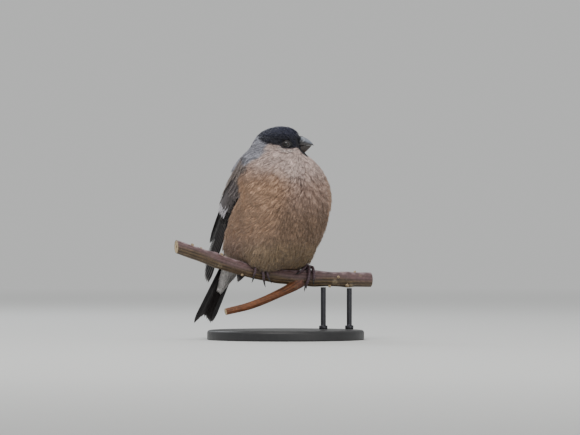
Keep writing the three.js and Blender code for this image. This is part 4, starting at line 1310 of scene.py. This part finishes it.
def makeUndertail():
    heap = Heap()
    draw = np.random.default_rng(61)
    along = np.linspace(-6, 35, 30)
    turn = np.linspace(0, np.pi, 28)
    rings = tongueSurface(along[:, None], turn[None], -0.9)
    flat = onTail(along[:, None] + 0 * turn[None, 1:-1], ((rings[:, ::-1][:, 1:-1] - tailRoot) @ left), -3.2)
    points, faces = closedRings(np.concatenate([rings, flat], 1))
    white = coatColours["vent"]
    # painted shade: the tongue under the coverts is a dimmed white, showing as shade in the gaps between them
    tone = np.broadcast_to(white * 0.75, points.shape)
    still = np.tile([[0.8, 0.5, 0.5]], (len(points), 1))
    heap.add(points, faces, plumage=tone, barb=still, bakeMap=np.full((len(points), 2), 0.02))
    rows = []
    for number, start in enumerate(np.linspace(-8, 20, 9)):
        many = 9 - (number > 5) * 2
        at = (np.arange(many) + 0.5 + 0.25 * (number % 2)) / many * np.pi * 0.94
        rows.append(np.stack([np.full(many, start) + draw.normal(scale=0.6, size=many), at], -1))
    rows = np.concatenate(rows)
    long = np.minimum(21 + draw.normal(scale=1.2, size=len(rows)), 39.5 - rows[:, 0])
    k = np.linspace(0, 1, 7)
    along = rows[:, :1] + column(long) * k
    turn = rows[:, 1:] + (np.pi / 2 - rows[:, 1:]) * 0.25 * k
    lift = -0.9 + 1.5 * k**0.8
    shaft = tongueSurface(along, turn, lift)
    out = unit(tongueSurface(along, turn, lift + 0.5) - shaft)
    held = laidShaft(shaft, out, long, 2.9)
    look = {"barbs": 110, "reach": 0.3, "width": 0.3, "fluff": 0.35, "bend": 0.03, "featherContrast": 0.05}

    def colourAt(p):
        side = (p - tailRoot) @ left
        return mix(np.broadcast_to(white, p.shape), linear((186, 176, 168)), ease(2, 9, np.abs(side)) * 0.5)

    spot = np.stack([0.1 + 0.8 * (rows[:, 0] + 8) / 40, 0.1 + 0.8 * rows[:, 1] / np.pi], -1)
    points, faces, extras = barbs(held, look, draw, colourAt, spot)
    heap.add(points, faces, **extras)
    heap.make("undertailCoverts", softPlumage, "vent", ["undertail_coverts"])


makeUndertail()


def makeRump():
    # black upper tail coverts over the tail's root
    heap = Heap()
    draw = np.random.default_rng(71)
    rows = []
    for number, start in enumerate([-9, -6, -3, 0, 3]):
        many = 6 - number % 2
        rows.append(np.stack([np.full(many, float(start)), (np.arange(many) - (many - 1) / 2) * 2.1], -1))
    rows = np.concatenate(rows) + draw.normal(scale=0.3, size=(28, 2))
    long = 15 + draw.normal(scale=0.8, size=len(rows))
    k = np.linspace(0, 1, 6)
    along = rows[:, :1] + column(long) * k
    side = rows[:, 1:] * (1 - 0.25 * k)
    level = 4.4 - 0.06 * side**2 - 0.9 * k + ease(0, -9, along) * 1.5
    shaft = onTail(along, side, level)
    out = unit(backward + left * column(0.14 * side))
    held = laidShaft(shaft, out, long, 2.2)
    look = {"barbs": 60, "reach": 0.3, "width": 0.3, "fluff": 0.2, "bend": 0.03, "featherContrast": 0.08}
    white, black = coatColours["rump"], wingColours["black"]
    colourAt = lambda p: mix(np.broadcast_to(white, p.shape), black, ease(-1.5, 1.5, (p - tailRoot) @ tailward))
    spot = np.stack([0.1 + 0.8 * (rows[:, 0] + 10) / 20, 0.5 + rows[:, 1] / 20], -1)
    points, faces, extras = barbs(held, look, draw, colourAt, spot)
    heap.add(points, faces, **extras)
    heap.make("uppertailCoverts", softPlumage, "flight")


makeRump()


# Perch: a length of living branch and the side twig under the feet

perchTurn = np.radians(-27)
perchAcross = np.array([np.cos(perchTurn), np.sin(perchTurn), 0.0])
perchFront = np.array([np.sin(perchTurn), -np.cos(perchTurn), 0.0])
perchEnds = (-66.0, 58.0)
branch = {"rows": 420, "sides": 96, "ridges": 13, "seed": 3}
twig = {
    "rows": 260, "sides": 64, "ridges": 9, "seed": 9, "thick": 2.9, "taper": 0.7, "joint": 1.1, "length": 62,
}
bud = {"rows": 14, "sides": 16, "size": 0.62, "scales": 0.10, "length": 1.9}


def perchSize(at):
    swell = 0.5 * np.exp(-(((at + 42) / 4) ** 2)) + 0.7 * np.exp(-(((at - 20) / 6) ** 2))
    return 4.6 + 0.35 * np.minimum(at, 0) / 66 + swell + 0.4 * np.exp(-(((at - 43) / 3) ** 2))


def onPerch(at, front, height):
    # along the branch's axis, which bends in height and bows to the front
    at = np.asarray(at, float)
    rise = through([-66, -31, -17, 0, 30, 58], [12.5, 0.8, -2.8, -5.7, -7.4, -8], at)
    bow = through([-66, -20, 0, 30, 58], [-2, 0.5, 0, 0.5, -1], at)
    return column(at) * perchAcross + column(front + bow) * perchFront + column(rise + height) * up


def barkMaterial(name, settings):
    # mauve skin over olive ridges by an attribute that also carries a painted highlight on top and painted
    # shade below, with lichen-grey flecks and fine cracks
    material, nodes, shader = newMaterial(name)
    colour = node(nodes, "ShaderNodeAttribute", attribute_name="plumage")
    place = node(nodes, "ShaderNodeTexCoord")
    mapping = node(
        nodes, "ShaderNodeMapping", inRotation=settings["rotation"], inScale=settings["stretch"],
        in0=place.outputs["Object"],
    )
    fine = node(nodes, "ShaderNodeTexNoise", in2=settings["fineScale"], in3=8.0, in4=0.65, inVector=mapping)
    broad = node(
        nodes, "ShaderNodeTexNoise", in2=settings["broadScale"], in3=3.0, inVector=place.outputs["Object"],
    )
    flecks = node(nodes, "ShaderNodeTexVoronoi", in2=settings["fleckScale"], inVector=place.outputs["Object"])
    fineTone = node(nodes, "ShaderNodeMapRange", in1=0.32, in2=0.68, in3=0.55, in4=1.35, in0=fine)
    broadTone = between(nodes, broad, 0.8, 1.2)
    both = node(nodes, "ShaderNodeMath", operation="MULTIPLY", in0=fineTone, in1=broadTone)
    tinted = node(nodes, "ShaderNodeVectorMath", operation="SCALE", in0=colour.outputs["Color"], inScale=both)
    fleck = node(nodes, "ShaderNodeMapRange", in1=0.10, in2=0.05, in3=0.0, in4=0.55, in0=flecks)
    speckled = node(
        nodes, "ShaderNodeMix", data_type="RGBA", in7=(*linear(settings["fleck"]), 1), in0=fleck, in6=tinted,
    )
    bump = node(nodes, "ShaderNodeBump", in0=0.7, in1=0.0005, inHeight=fine)
    rough = node(
        nodes, "ShaderNodeMapRange", in1=0.3, in2=0.7, in3=settings["roughness"],
        in4=settings["roughness"] + 0.25, in0=fine,
    )
    feed(shader, {"Base Color": speckled.outputs[2], "Normal": bump, "Roughness": rough})
    return material


barkLook = barkMaterial("branchBark", {
    "rotation": (0, 0, 0.47), "stretch": (0.16, 1.0, 1.0), "fineScale": 1500.0, "broadScale": 160.0,
    "fleckScale": 520.0, "fleck": (196, 186, 170), "roughness": 0.42,
})
twigLook = barkMaterial("twigBark", {
    "rotation": (0, 0, 0.47), "stretch": (0.22, 1.0, 1.0), "fineScale": 1300.0, "broadScale": 220.0,
    "fleckScale": 420.0, "fleck": (206, 160, 112), "roughness": 0.5,
})
barkColours = {key: linear(value) for key, value in {
    "mauve": (104, 80, 80), "bloom": (182, 158, 164), "olive": (98, 80, 52), "furrow": (38, 27, 21),
    "twig": (122, 74, 44), "twigDark": (44, 26, 17), "bud": (190, 172, 140), "wood": (206, 182, 140),
    "pith": (150, 120, 84), "rind": (86, 62, 48),
}.items()}


def barkGrid(sides, rows):
    return np.linspace(0, 1, rows)[:, None], (np.arange(sides) * 2 * np.pi / sides)[None]


def woundEnd(ring, outward, colours):
    # a sawn end: rings of pale wood with growth rings and a dark pith, sunk a little inside the rind
    centre = ring.mean(0)
    shares = np.array([1.0, 0.985, 0.93, 0.86, 0.8, 0.72, 0.64, 0.55, 0.46, 0.36, 0.26, 0.16, 0.08])
    depth = np.array([0.0, 0.05, -0.12, -0.14, -0.1, -0.15, -0.11, -0.16, -0.11, -0.15, -0.12, -0.2, -0.3])
    grid = centre + (ring - centre)[None] * shares[:, None, None] + outward * depth[:, None, None]
    sides = len(ring)
    points = np.concatenate([grid.reshape(-1, 3), (centre - 0.35 * outward)[None]])
    last = (len(shares) - 1) * sides
    j = np.arange(sides)
    cap = np.stack([np.full(sides, len(points) - 1), last + j, last + (j + 1) % sides], -1)
    tones = [colours["rind"], colours["rind"]] + [colours["wood"] * (0.82 + 0.18 * (i % 2)) for i in range(9)]
    tones += [colours["pith"], colours["pith"] * 0.6]
    tone = np.concatenate([np.repeat(np.array(tones), sides, 0), (colours["pith"] * 0.5)[None]])
    return points, [gridFaces(len(shares), sides, True), cap], tone


def sawnTube(grid, tone):
    # a tube of rings closed by two sawn ends that share its first and last rings
    rows, sides = grid.shape[:2]
    parts, tones, faces = [grid.reshape(-1, 3)], [tone.reshape(-1, 3)], [gridFaces(rows, sides, True)]
    count, caps = rows * sides, []
    for ringIndex, neighbour, base in ((0, 1, 0), (rows - 1, rows - 2, (rows - 1) * sides)):
        ring = grid[ringIndex]
        outward = unit(ring.mean(0) - grid[neighbour].mean(0))
        points, endFaces, endTone = woundEnd(ring, outward, barkColours)
        offset = count - sides
        for part in endFaces:
            shifted = np.where(part < sides, part + base, part + offset)
            if base == 0:
                shifted = shifted[:, ::-1]
            (faces if part.shape[1] == 4 else caps).append(shifted)
        parts.append(points[sides:])
        tones.append(endTone[sides:])
        count += len(points) - sides
    return np.concatenate(parts), [np.concatenate(faces), np.concatenate(caps)], np.concatenate(tones)


def ridges(along, turn, seed, count, sharp):
    # long wandering ridges: |sin| of the turn with its phase drifting along the branch, sharpened
    draw = np.random.default_rng(seed)
    total = 0
    for k in range(3):
        phase = draw.uniform(0, 6.3) + 0.5 * np.sin(along / draw.uniform(6, 11) + draw.uniform(0, 6)) * (k + 1)
        total = total + np.abs(np.sin((count + k) / 2 * turn + phase)) ** sharp / (k + 1)
    return total / 1.83


def knots(along, turn, places):
    # a swelling at each place: height x exp of minus the squared distance over its size
    total = 0
    for at, angle, size, high in places:
        wrapped = np.angle(np.exp(1j * (turn - angle)))
        far = ((along - at) / size) ** 2 + (wrapped * 4.6 / size) ** 2
        total = total + high * np.exp(-far) - 0.45 * high * np.exp(-far * 7)
    return total


def makeBranch():
    rows, sides = branch["rows"], branch["sides"]
    t, a = barkGrid(sides, rows)
    at = perchEnds[0] + (perchEnds[1] - perchEnds[0]) * t
    under = ease(0.35, -0.35, np.sin(a) + 0.25 * np.sin(at / 7.0) * np.cos(a))
    rough = ridges(at, a, branch["seed"], branch["ridges"], 0.7)
    knotty = knots(at, a, [
        (-52, 1.9, 1.6, 0.9), (-41, 1.6, 1.5, 1.0), (-40, -0.6, 2.0, 0.8), (-26, 1.7, 1.3, 0.7), (
            -22, -0.9, 1.8, 0.6,
        ),
        (-4, -1.0, 1.5, 0.5), (9, -0.9, 2.8, 0.9), (15, -1.9, 2.4, 0.8), (26, 0.4, 1.6, 0.6), (
            33, -0.4, 2.2, 0.9,
        ),
        (39, 1.2, 1.6, 0.8), (44, -0.9, 2.0, 0.9), (50, 0.6, 1.5, 0.7),
    ])
    feet = np.exp(-(((at - 17.2) / 6) ** 2)) + np.exp(-(((at + 15) / 6) ** 2))
    quiet = 1 - 0.85 * np.clip(feet, 0, 1)
    lenticels = 0.05 * np.maximum(np.sin(at * 5 + 3 * np.sin(a * 3)) * np.sin(a * 11 + at), 0.6)
    size = perchSize(at) - 0.16 - (0.16 + 0.3 * under) * quiet * (1 - rough) + 0.12 * under * quiet
    size = size + knotty * quiet * 0.55 + lenticels * (1 - under) + 0.05 * np.sin(at / 2.3 + 2 * a)
    grid = onPerch(at + 0 * a, size * np.cos(a), size * np.sin(a))
    c = barkColours
    # painted highlight: a pale strip along the top of the branch
    tone = mix(
        np.broadcast_to(c["mauve"], grid.shape), c["bloom"],
        ease(0.75, 1.0, np.sin(a + 0.12) + 0.08 * np.sin(at)) * 0.6,
    )
    tone = mix(tone, c["olive"], under * (0.35 + 0.65 * rough))
    # the furrows' own dark bark, and painted shade: the furrows are painted darker on the underside
    tone = mix(tone, c["furrow"], (0.45 + 0.55 * under) * ease(0.85, 0.4, rough) * 0.9)
    tone = mix(tone, c["bud"], np.clip(knotty - 0.35, 0, 1) * 0.9)
    points, faces, tone = sawnTube(grid, tone)
    makePiece("perchBranch", points, faces, barkLook, ["perch_branch"], {"plumage": tone})


def twigPath(t):
    # Catmull-Rom, centripetal, through five places, as three.js walks it at even lengths
    keys = np.array([
        onPerch(13, 0.5, -1.5), onPerch(6, 2.5, -6), onPerch(-6, 5, -12.5), onPerch(-22, 7.5, -21.5), onPerch(
            -38, 9, -30,
        ),
    ])
    keys = np.concatenate([[2 * keys[0] - keys[1]], keys, [2 * keys[-1] - keys[-2]]])
    dense = []
    for k in range(4):
        p0, p1, p2, p3 = keys[k:k + 4]
        d0, d1, d2 = (np.linalg.norm(b - a) ** 0.5 for a, b in ((p0, p1), (p1, p2), (p2, p3)))
        m1 = ((p1 - p0) / d0 - (p2 - p0) / (d0 + d1) + (p2 - p1) / d1) * d1
        m2 = ((p2 - p1) / d1 - (p3 - p1) / (d1 + d2) + (p3 - p2) / d2) * d1
        u = column(np.linspace(0, 1, 60, endpoint=(k == 3)))
        leave, arrive = (u**3 - 2 * u**2 + u) * m1, (u**3 - u**2) * m2
        dense.append((2 * u**3 - 3 * u**2 + 1) * p1 + leave + (3 * u**2 - 2 * u**3) * p2 + arrive)
    dense = np.concatenate(dense)
    way = np.concatenate([[0], np.cumsum(np.linalg.norm(np.diff(dense, axis=0), axis=1))])
    return np.stack([np.interp(t * way[-1], way, dense[:, k]) for k in range(3)], -1)


def makeTwig():
    rows, sides = twig["rows"], twig["sides"]
    t = np.linspace(0.02, 1, rows)
    a = np.arange(sides) * 2 * np.pi / sides
    size = (twig["thick"] - twig["taper"] * t + twig["joint"] * np.exp(-((t / 0.16) ** 2)))[:, None]
    along = t[:, None] * twig["length"]
    rough = ridges(along * 1.4, a[None], twig["seed"], twig["ridges"], 0.8)
    bumps = knots(
        along, a[None],
        [(5, 1.2, 2.4, 0.9), (8, 4.6, 2.2, 0.8), (13, 2.8, 1.6, 0.7), (30, 1.0, 1.3, 0.4), (47, 4.0, 1.4, 0.5)],
    )
    size = size - 0.1 - 0.32 * (1 - rough) + bumps * 0.5
    grid = tube(twigPath(t), size, sides, up)
    c = barkColours
    tone = mix(np.broadcast_to(c["twig"], grid.shape), c["twigDark"], ease(0.7, 0.2, rough) * 0.9)
    tone = mix(tone, c["bud"], np.clip(bumps - 0.4, 0, 1) * 0.7)
    tone = mix(tone, c["mauve"], ease(10, 2, along + 0 * a) * 0.5)
    points, faces, tone = sawnTube(grid, tone)
    makePiece("perchTwig", points, faces, twigLook, ["perch_twig"], {"plumage": tone})


def makeBuds():
    # small scaly buds: a pointed egg with three turns of overlapping scales
    heap = Heap()
    places = [
        (-56, 1.35, 1.5, 1.2), (-50, 1.75, 1.0, 1.0), (-37.5, 1.5, 1.6, 1.3), (-35, 1.9, 1.0, 0.9),
        (-25.5, -1.0, 1.3, 1.0), (35, 0.3, 1.3, 1.1), (41, -0.8, 1.6, 1.2), (47, 1.35, 1.1, 1.0), (
            30, -1.1, 1.4, 1.1,
        ),
    ]
    for at, angle, size, long in places:
        seat = onPerch(at, (perchSize(at) - 0.3) * np.cos(angle), (perchSize(at) - 0.3) * np.sin(angle))
        out = unit(seat - onPerch(at, 0, 0))
        way = unit(out + 0.7 * perchAcross * np.sign(at - 5))
        t = np.linspace(0, 1, bud["rows"])
        a = np.arange(bud["sides"]) * 2 * np.pi / bud["sides"]
        radius = bud["size"] * size * np.sin(np.pi * np.clip(t * 0.86 + 0.14, 0, 1)) ** 0.8
        scales = 1 + bud["scales"] * np.sin(3 * a[None] + 14 * t[:, None])
        path = seat + way * column(t * bud["length"] * long - 0.4)
        rings = tube(path, radius[:, None] * scales, bud["sides"], perchFront)
        points, faces = closedRings(rings)
        share = np.concatenate([np.repeat(t, bud["sides"]), [0, 1]])
        tone = mix(np.broadcast_to(barkColours["bud"], points.shape), barkColours["twig"], 0.5 * share)
        heap.add(points, faces, plumage=tone)
    heap.make("perchBuds", twigLook, "twig")


makeBranch()
makeTwig()
makeBuds()


# Feet: toes that wrap the branch, with scutes above and pads below, the claws and the short leg

feet = [
    {"name": "Left", "side": 1, "at": 17.2, "toes": [
        (-2.7, -7.0, 20, 52, 0.95, 0.6), (-0.3, -2.8, 20, 112, 1.05, 1.4),
        (2.2, 1.4, 20, 84, 0.95, 0.8), (0.0, 0.6, -22, -104, 1.1, 0.5),
    ]},
    {"name": "Right", "side": -1, "at": -15.0, "toes": [
        (2.4, 4.8, 20, 96, 0.95, 1.0), (0.0, 2.2, 20, 104, 1.05, 2.6),
        (-2.4, -4.1, 20, 100, 0.95, 1.0), (0.0, -0.6, -22, -104, 1.1, 0.5),
    ]},
]
toeShape = {"rows": 110, "sides": 20, "taper": 0.25, "scutes": 8.5, "pads": 3.2, "narrow": 0.92}
claw = {"rows": 26, "sides": 14, "share": 0.66, "point": 0.03, "steps": 6, "step": 0.85, "bend": 11}
pad = {"halfSizes": (3.25, 1.35, 1.28), "seat": 1.65, "rows": 26}
shank = {"lean": 5, "back": 2.5, "rise": 7.5, "rows": 60, "foot": 1.1, "swell": 0.2}
footColours = {key: linear(value) for key, value in {
    "scute": (84, 64, 72), "joint": (40, 30, 36), "claw": (24, 20, 24), "root": (58, 44, 48),
}.items()}


def footMaterial(name, roughness, bumpScale):
    material, nodes, shader = newMaterial(name)
    colour = node(nodes, "ShaderNodeAttribute", attribute_name="plumage")
    place = node(nodes, "ShaderNodeTexCoord")
    noise = node(nodes, "ShaderNodeTexNoise", in2=bumpScale, in3=4.0, inVector=place.outputs["Object"])
    tone = between(nodes, noise, 0.75, 1.25)
    rough = between(nodes, noise, roughness, roughness + 0.15)
    tinted = node(nodes, "ShaderNodeVectorMath", operation="SCALE", in0=colour.outputs["Color"], inScale=tone)
    bump = node(nodes, "ShaderNodeBump", in0=0.4, in1=0.00015, inHeight=noise)
    feed(shader, {"Base Color": tinted, "Normal": bump, "Roughness": rough})
    return material


toeLook = footMaterial("toeScutes", 0.34, 2600.0)
clawLook = footMaterial("clawHorn", 0.22, 1500.0)


def toeLine(foot, toe, t):
    # round the branch for the first 0.8 of its length, then straight on
    start, end, fromTurn, toTurn, thick, hang = toe
    at = foot["at"] + start + (end - start) * t
    turn = np.radians(fromTurn + (toTurn - fromTurn) * np.minimum(t / 0.8, 1))
    lie = perchSize(at) + thick + 0.6
    onward = np.sign(toTurn) * hang * np.maximum(t - 0.8, 0) / 0.2
    return onPerch(at, lie * np.sin(turn) + onward * np.cos(turn), lie * np.cos(turn) - onward * np.sin(turn))


def makeFoot(foot):
    heap, claws = Heap(), Heap()
    nodes = ["leg_" + foot["name"].lower()]
    c = footColours
    sides = toeShape["sides"]
    a = np.arange(sides) * 2 * np.pi / sides
    for number, toe in enumerate(foot["toes"]):
        thick = toe[4]
        t = np.linspace(-0.04, 1, toeShape["rows"])
        line = toeLine(foot, toe, t)
        axis = onPerch(foot["at"] + toe[0] + (toe[1] - toe[0]) * t, 0, 0)
        outward = unit(line - axis)
        along = unit(np.gradient(line, axis=0))
        side = unit(np.cross(along, outward))
        outward = np.cross(side, along)
        top = ease(-0.2, 0.5, np.sin(a))[None]
        plates = np.abs(np.sin(t * np.pi * toeShape["scutes"]))[:, None] ** 0.45
        pads = np.abs(np.sin(t * np.pi * toeShape["pads"] + 0.6))[:, None] ** 0.6
        relief = 0.13 * (plates - 0.6) * top + 0.10 * (pads - 0.5) * (1 - top)
        radius = thick * (1 - toeShape["taper"] * t)[:, None] * (1.08 + relief)
        radius = radius * np.sqrt(np.clip((1.04 - t) / 0.08, 0.05, 1))[:, None]
        sideways = side[:, None] * column(radius * np.cos(a)) * toeShape["narrow"]
        rings = line[:, None] + sideways + outward[:, None] * column(radius * np.sin(a))
        points, faces = closedRings(rings)
        shade = mix(
            np.broadcast_to(c["scute"], rings.shape), c["joint"],
            ease(0.75, 0.3, plates) * np.ones((1, sides)),
        )
        # painted shade: the toe's underside and sides, against the branch, are darkened towards the joint
        # colour
        shade = mix(shade, c["joint"], 0.4 * (1 - top) * np.ones((toeShape["rows"], 1)))
        shade = np.concatenate([shade.reshape(-1, 3), c["scute"][None], c["joint"][None]])
        heap.add(points, faces, plumage=shade)
        nodes.append("toe_" + foot["name"].lower() + "_" + str(number + 1))
        # the claw curves in towards the branch
        tip, before = toeLine(foot, toe, np.array(1.0)), toeLine(foot, toe, np.array(0.93))
        heading = unit(tip - before)
        bend = -np.radians(claw["bend"]) * np.sign(toe[3]) * claw["steps"]
        k = np.linspace(0, 1, claw["rows"])
        turned = np.cross(perchAcross, heading)
        ways = heading * column(np.cos(bend * k)) + turned * column(np.sin(bend * k))
        gone = np.concatenate([[np.zeros(3)], np.cumsum(ways[:-1], 0)])
        path = tip - heading * 0.1 + gone * (claw["step"] * claw["steps"] + 0.3) / (claw["rows"] - 1)
        size = thick * claw["share"] * (1 - k**1.3) + claw["point"]
        points, faces = closedRings(tube(path, size, claw["sides"], perchAcross))
        around = np.ones(claw["sides"])
        horny = np.broadcast_to(c["root"], (claw["rows"], claw["sides"], 3))
        shade = mix(horny, c["claw"], ease(0.05, 0.4, k)[:, None] * around)
        shade = np.concatenate([shade.reshape(-1, 3), c["root"][None], c["claw"][None]])
        claws.add(points, faces, plumage=shade)
    # the foot's pad and the shank that goes up into the belly
    seat = onPerch(foot["at"], 0, perchSize(foot["at"]) + pad["seat"])
    b = np.linspace(0.05, np.pi - 0.05, pad["rows"])
    wide, deep, high = pad["halfSizes"]
    bumpy = 1 + 0.04 * np.sin(9 * b)[:, None] * np.ones(sides)
    grid = seat + column(wide * np.cos(b)[:, None] + 0 * a) * perchAcross
    grid = grid + column(deep * np.sin(b)[:, None] * np.cos(a) * bumpy) * perchFront
    grid = grid + column(high * np.sin(b)[:, None] * np.sin(a) * bumpy) * up
    points, faces = closedRings(grid)
    heap.add(points, faces, plumage=c["scute"][None] * 0.9)
    high = perchSize(foot["at"]) + shank["rise"]
    top = onPerch(foot["at"] - foot["side"] * shank["lean"], -shank["back"], high)
    t = np.linspace(0, 1, shank["rows"])
    plates = np.abs(np.sin(t * np.pi * 5))[:, None] ** 0.5
    relief = 0.07 * (plates - 0.5) * ease(-0.3, 0.5, np.sin(a))[None]
    radius = (shank["foot"] + shank["swell"] * t)[:, None] * (0.96 + relief)
    points, faces = closedRings(tube(seat + (top - seat) * column(t), radius, sides, perchFront))
    heap.add(points, faces, plumage=c["scute"][None])
    heap.make("foot" + foot["name"], toeLook, "leg", nodes)
    clawNodes = ["claw_" + foot["name"].lower() + "_" + str(i + 1) for i in range(4)]
    claws.make("claws" + foot["name"], clawLook, "claw", clawNodes)


for foot in feet:
    makeFoot(foot)


# Display stand: a turned base and two slim rods with collars

stand = {"radius": 48.0, "thick": 6.0, "rod": 1.6, "places": (27, 44), "collar": 2.6}


def standMaterial(name, colour, metallic, roughness, rings):
    # fine turning marks round the upright axis
    material, nodes, shader = newMaterial(name)
    place = node(nodes, "ShaderNodeTexCoord")
    far = node(nodes, "ShaderNodeVectorMath", operation="LENGTH", in0=place.outputs["Object"])
    marks = node(nodes, "ShaderNodeMath", operation="MULTIPLY", in1=rings, in0=far.outputs["Value"])
    wave = node(nodes, "ShaderNodeMath", operation="SINE", in0=marks)
    noise = node(nodes, "ShaderNodeTexNoise", in2=260.0, in3=6.0, inVector=place.outputs["Object"])
    tone = between(nodes, noise, 0.85, 1.15)
    tinted = node(nodes, "ShaderNodeVectorMath", operation="SCALE", in0=linear(colour), inScale=tone)
    rough = between(nodes, noise, roughness, roughness + 0.14)
    bump = node(nodes, "ShaderNodeBump", in0=0.12, in1=0.00008, inHeight=wave)
    feed(shader, {"Metallic": metallic, "Base Color": tinted, "Roughness": rough, "Normal": bump})
    return material


def makeStand():
    base = standMaterial("baseLacquer", (40, 40, 42), 0.0, 0.38, 9000.0)
    steel = standMaterial("rodSteel", (70, 70, 74), 1.0, 0.3, 14000.0)
    r, h = stand["radius"], stand["thick"]
    profile = np.array([
        (0.6, 0.0), (r - 1.2, 0.0), (r - 0.35, 0.08), (r - 0.06, 0.35), (r, 0.8), (r, 1.2), (r, h - 2.0), (
            r - 0.05, h - 1.3,
        ),
        (r - 0.3, h - 0.75), (r - 0.72, h - 0.32), (r - 1.3, h - 0.06), (r - 2.0, h), (r - 4.5, h), (
            r - 4.8, h - 0.12,
        ),
        (r - 5.1, h), (30, h), (12, h), (0.6, h),
    ])
    a = np.arange(160) * 2 * np.pi / 160
    heights = profile[:, 1:] + 0 * a
    rings = np.stack([profile[:, :1] * np.cos(a), profile[:, :1] * np.sin(a), heights], -1) - birdPlace
    points, faces = closedRings(rings)
    makePiece("standBase", points, faces, base, ["stand_base"])
    heap = Heap()
    rod = stand["rod"]
    for place in stand["places"]:
        head = onPerch(place, 0, 0)
        foot = h + 0.3 - birdPlace[2]
        under = perchSize(place) + 0.3
        z = np.array([
            foot, foot + 0.02, foot + 0.5, foot + 2.0, foot + 2.35, foot + 2.4, foot + 3,
            head[2] - under - 1.2, head[2] - under - 0.6, head[2] - under - 0.1,
        ])
        radius = np.array([
            stand["collar"] - 0.3, stand["collar"] - 0.1, stand["collar"], stand["collar"],
            stand["collar"] - 0.3, 1.0125 * rod, rod, rod, rod, 0.96875 * rod,
        ])
        path = np.stack([0 * z + head[0], 0 * z + head[1], z], -1)
        a = np.arange(40) * 2 * np.pi / 40
        r = radius[:, None]
        rings = path[:, None] + np.stack([r * np.cos(a), r * np.sin(a), 0 * r * a], -1)
        points, faces = closedRings(rings)
        heap.add(points, faces)
    heap.make("standRods", steel, "stand", ["stand_rod_1", "stand_rod_2"])


makeStand()


# Stage: a wide pale floor that fades into the plain backdrop, soft lights and the camera

stage = {
    "floorRadius": 30000.0, "fadeFrom": 0.7, "fadeTo": 2.2, "paper": (214, 215, 214), "worldStrength": 0.85,
}


def floorMaterial():
    # paper near the object, the backdrop's own brightness far from it
    material, nodes, shader = newMaterial("paleFloor")
    place = node(nodes, "ShaderNodeTexCoord")
    far = node(nodes, "ShaderNodeVectorMath", operation="LENGTH", in0=place.outputs["Object"])
    fade = node(
        nodes, "ShaderNodeMapRange", in1=stage["fadeFrom"], in2=stage["fadeTo"], in0=far.outputs["Value"],
    )
    glow = node(nodes, "ShaderNodeEmission", in0=(*linear(stage["paper"]), 1), in1=stage["worldStrength"])
    both = node(nodes, "ShaderNodeMixShader", in0=fade, in1=shader, in2=glow)
    noise = node(nodes, "ShaderNodeTexNoise", in2=300.0, inVector=place.outputs["Object"])
    tone = node(nodes, "ShaderNodeMapRange", in3=0.97, in4=1.03, in0=noise)
    tinted = node(nodes, "ShaderNodeVectorMath", operation="SCALE", in0=linear(stage["paper"]), inScale=tone)
    feed(shader, {"Roughness": 0.9, "Base Color": tinted})
    feed(nodes["Material Output"], {"Surface": both})
    return material


def makeFloor():
    # a disc of rings whose radii grow evenly in their logarithm
    radii = np.concatenate([[30.0], np.geomspace(60, stage["floorRadius"], 30)])
    a = np.arange(96) * 2 * np.pi / 96
    ring = np.stack([np.cos(a), np.sin(a), 0 * a], -1)
    points = (radii[:, None, None] * ring).reshape(-1, 3) * millimetre
    points = np.concatenate([points, [[0, 0, 0]]])
    quads = gridFaces(len(radii), 96, True)[:, ::-1]
    j = np.arange(96)
    centre = np.stack([np.full(96, len(points) - 1), j, (j + 1) % 96], -1)
    mesh = bpy.data.meshes.new("floor")
    mesh.from_pydata(points.tolist(), [], quads.tolist() + centre.tolist())
    mesh.materials.append(floorMaterial())
    floor = bpy.data.objects.new("floor", mesh)
    bpy.context.scene.collection.objects.link(floor)


def makeLight(name, place, target, size, power, colour):
    lamp = bpy.data.lights.new(name, "AREA")
    lamp.shape = "DISK"
    lamp.size = size
    lamp.energy = power
    lamp.color = colour
    holder = bpy.data.objects.new(name, lamp)
    bpy.context.scene.collection.objects.link(holder)
    place, target = np.asarray(place, float), np.asarray(target, float)
    holder.location = place
    holder.rotation_euler = aimed(place, target)


def aimed(place, target):
    # Euler angles that turn -Z towards the target with Y upright
    way = unit(target - place)
    lean = np.arccos(np.clip(-way[2], -1, 1))
    return (lean, 0.0, np.arctan2(-way[0], way[1]))


makeFloor()
world = bpy.data.worlds.new("studio")
bpy.context.scene.world = world
world.use_nodes = True
world.node_tree.nodes["Background"].inputs[0].default_value = (*linear(stage["paper"]), 1)
world.node_tree.nodes["Background"].inputs[1].default_value = stage["worldStrength"]

toCamera = np.array([-0.7071, -0.7071, 0.0])
toRight = np.array([0.7071, -0.7071, 0.0])
photo = {"frameWidth": 353.8, "right": 5.49, "high": 30.2, "lens": 300.0, "sensor": 36.0}
aim = (birdPlace + photo["right"] * toRight + photo["high"] * up) * millimetre
distance = photo["frameWidth"] * photo["lens"] / photo["sensor"] * millimetre
middleOfBird = (birdPlace + 40 * up) * millimetre
makeLight(
    "topLight", middleOfBird + 0.55 * toCamera - 0.15 * toRight + 1.1 * up, middleOfBird, 0.9, 11.0,
    (1, 0.985, 0.96),
)
makeLight(
    "fillLight", middleOfBird + 1.2 * toCamera + 0.7 * toRight + 0.25 * up, middleOfBird, 0.9, 3.0,
    (1, 0.97, 0.94),
)
makeLight(
    "rimLight", middleOfBird - 0.8 * toCamera - 0.5 * toRight + 0.7 * up, middleOfBird, 0.7, 4.0,
    (0.93, 0.96, 1),
)

lens = bpy.data.cameras.new("camera")
lens.lens = photo["lens"]
lens.sensor_width = photo["sensor"]
lens.clip_end = 100.0
lens.clip_start = 0.01
camera = bpy.data.objects.new("camera", lens)
bpy.context.scene.collection.objects.link(camera)
camera.location = aim + toCamera * distance
camera.rotation_euler = aimed(aim + toCamera * distance, aim)
bpy.context.scene.camera = camera
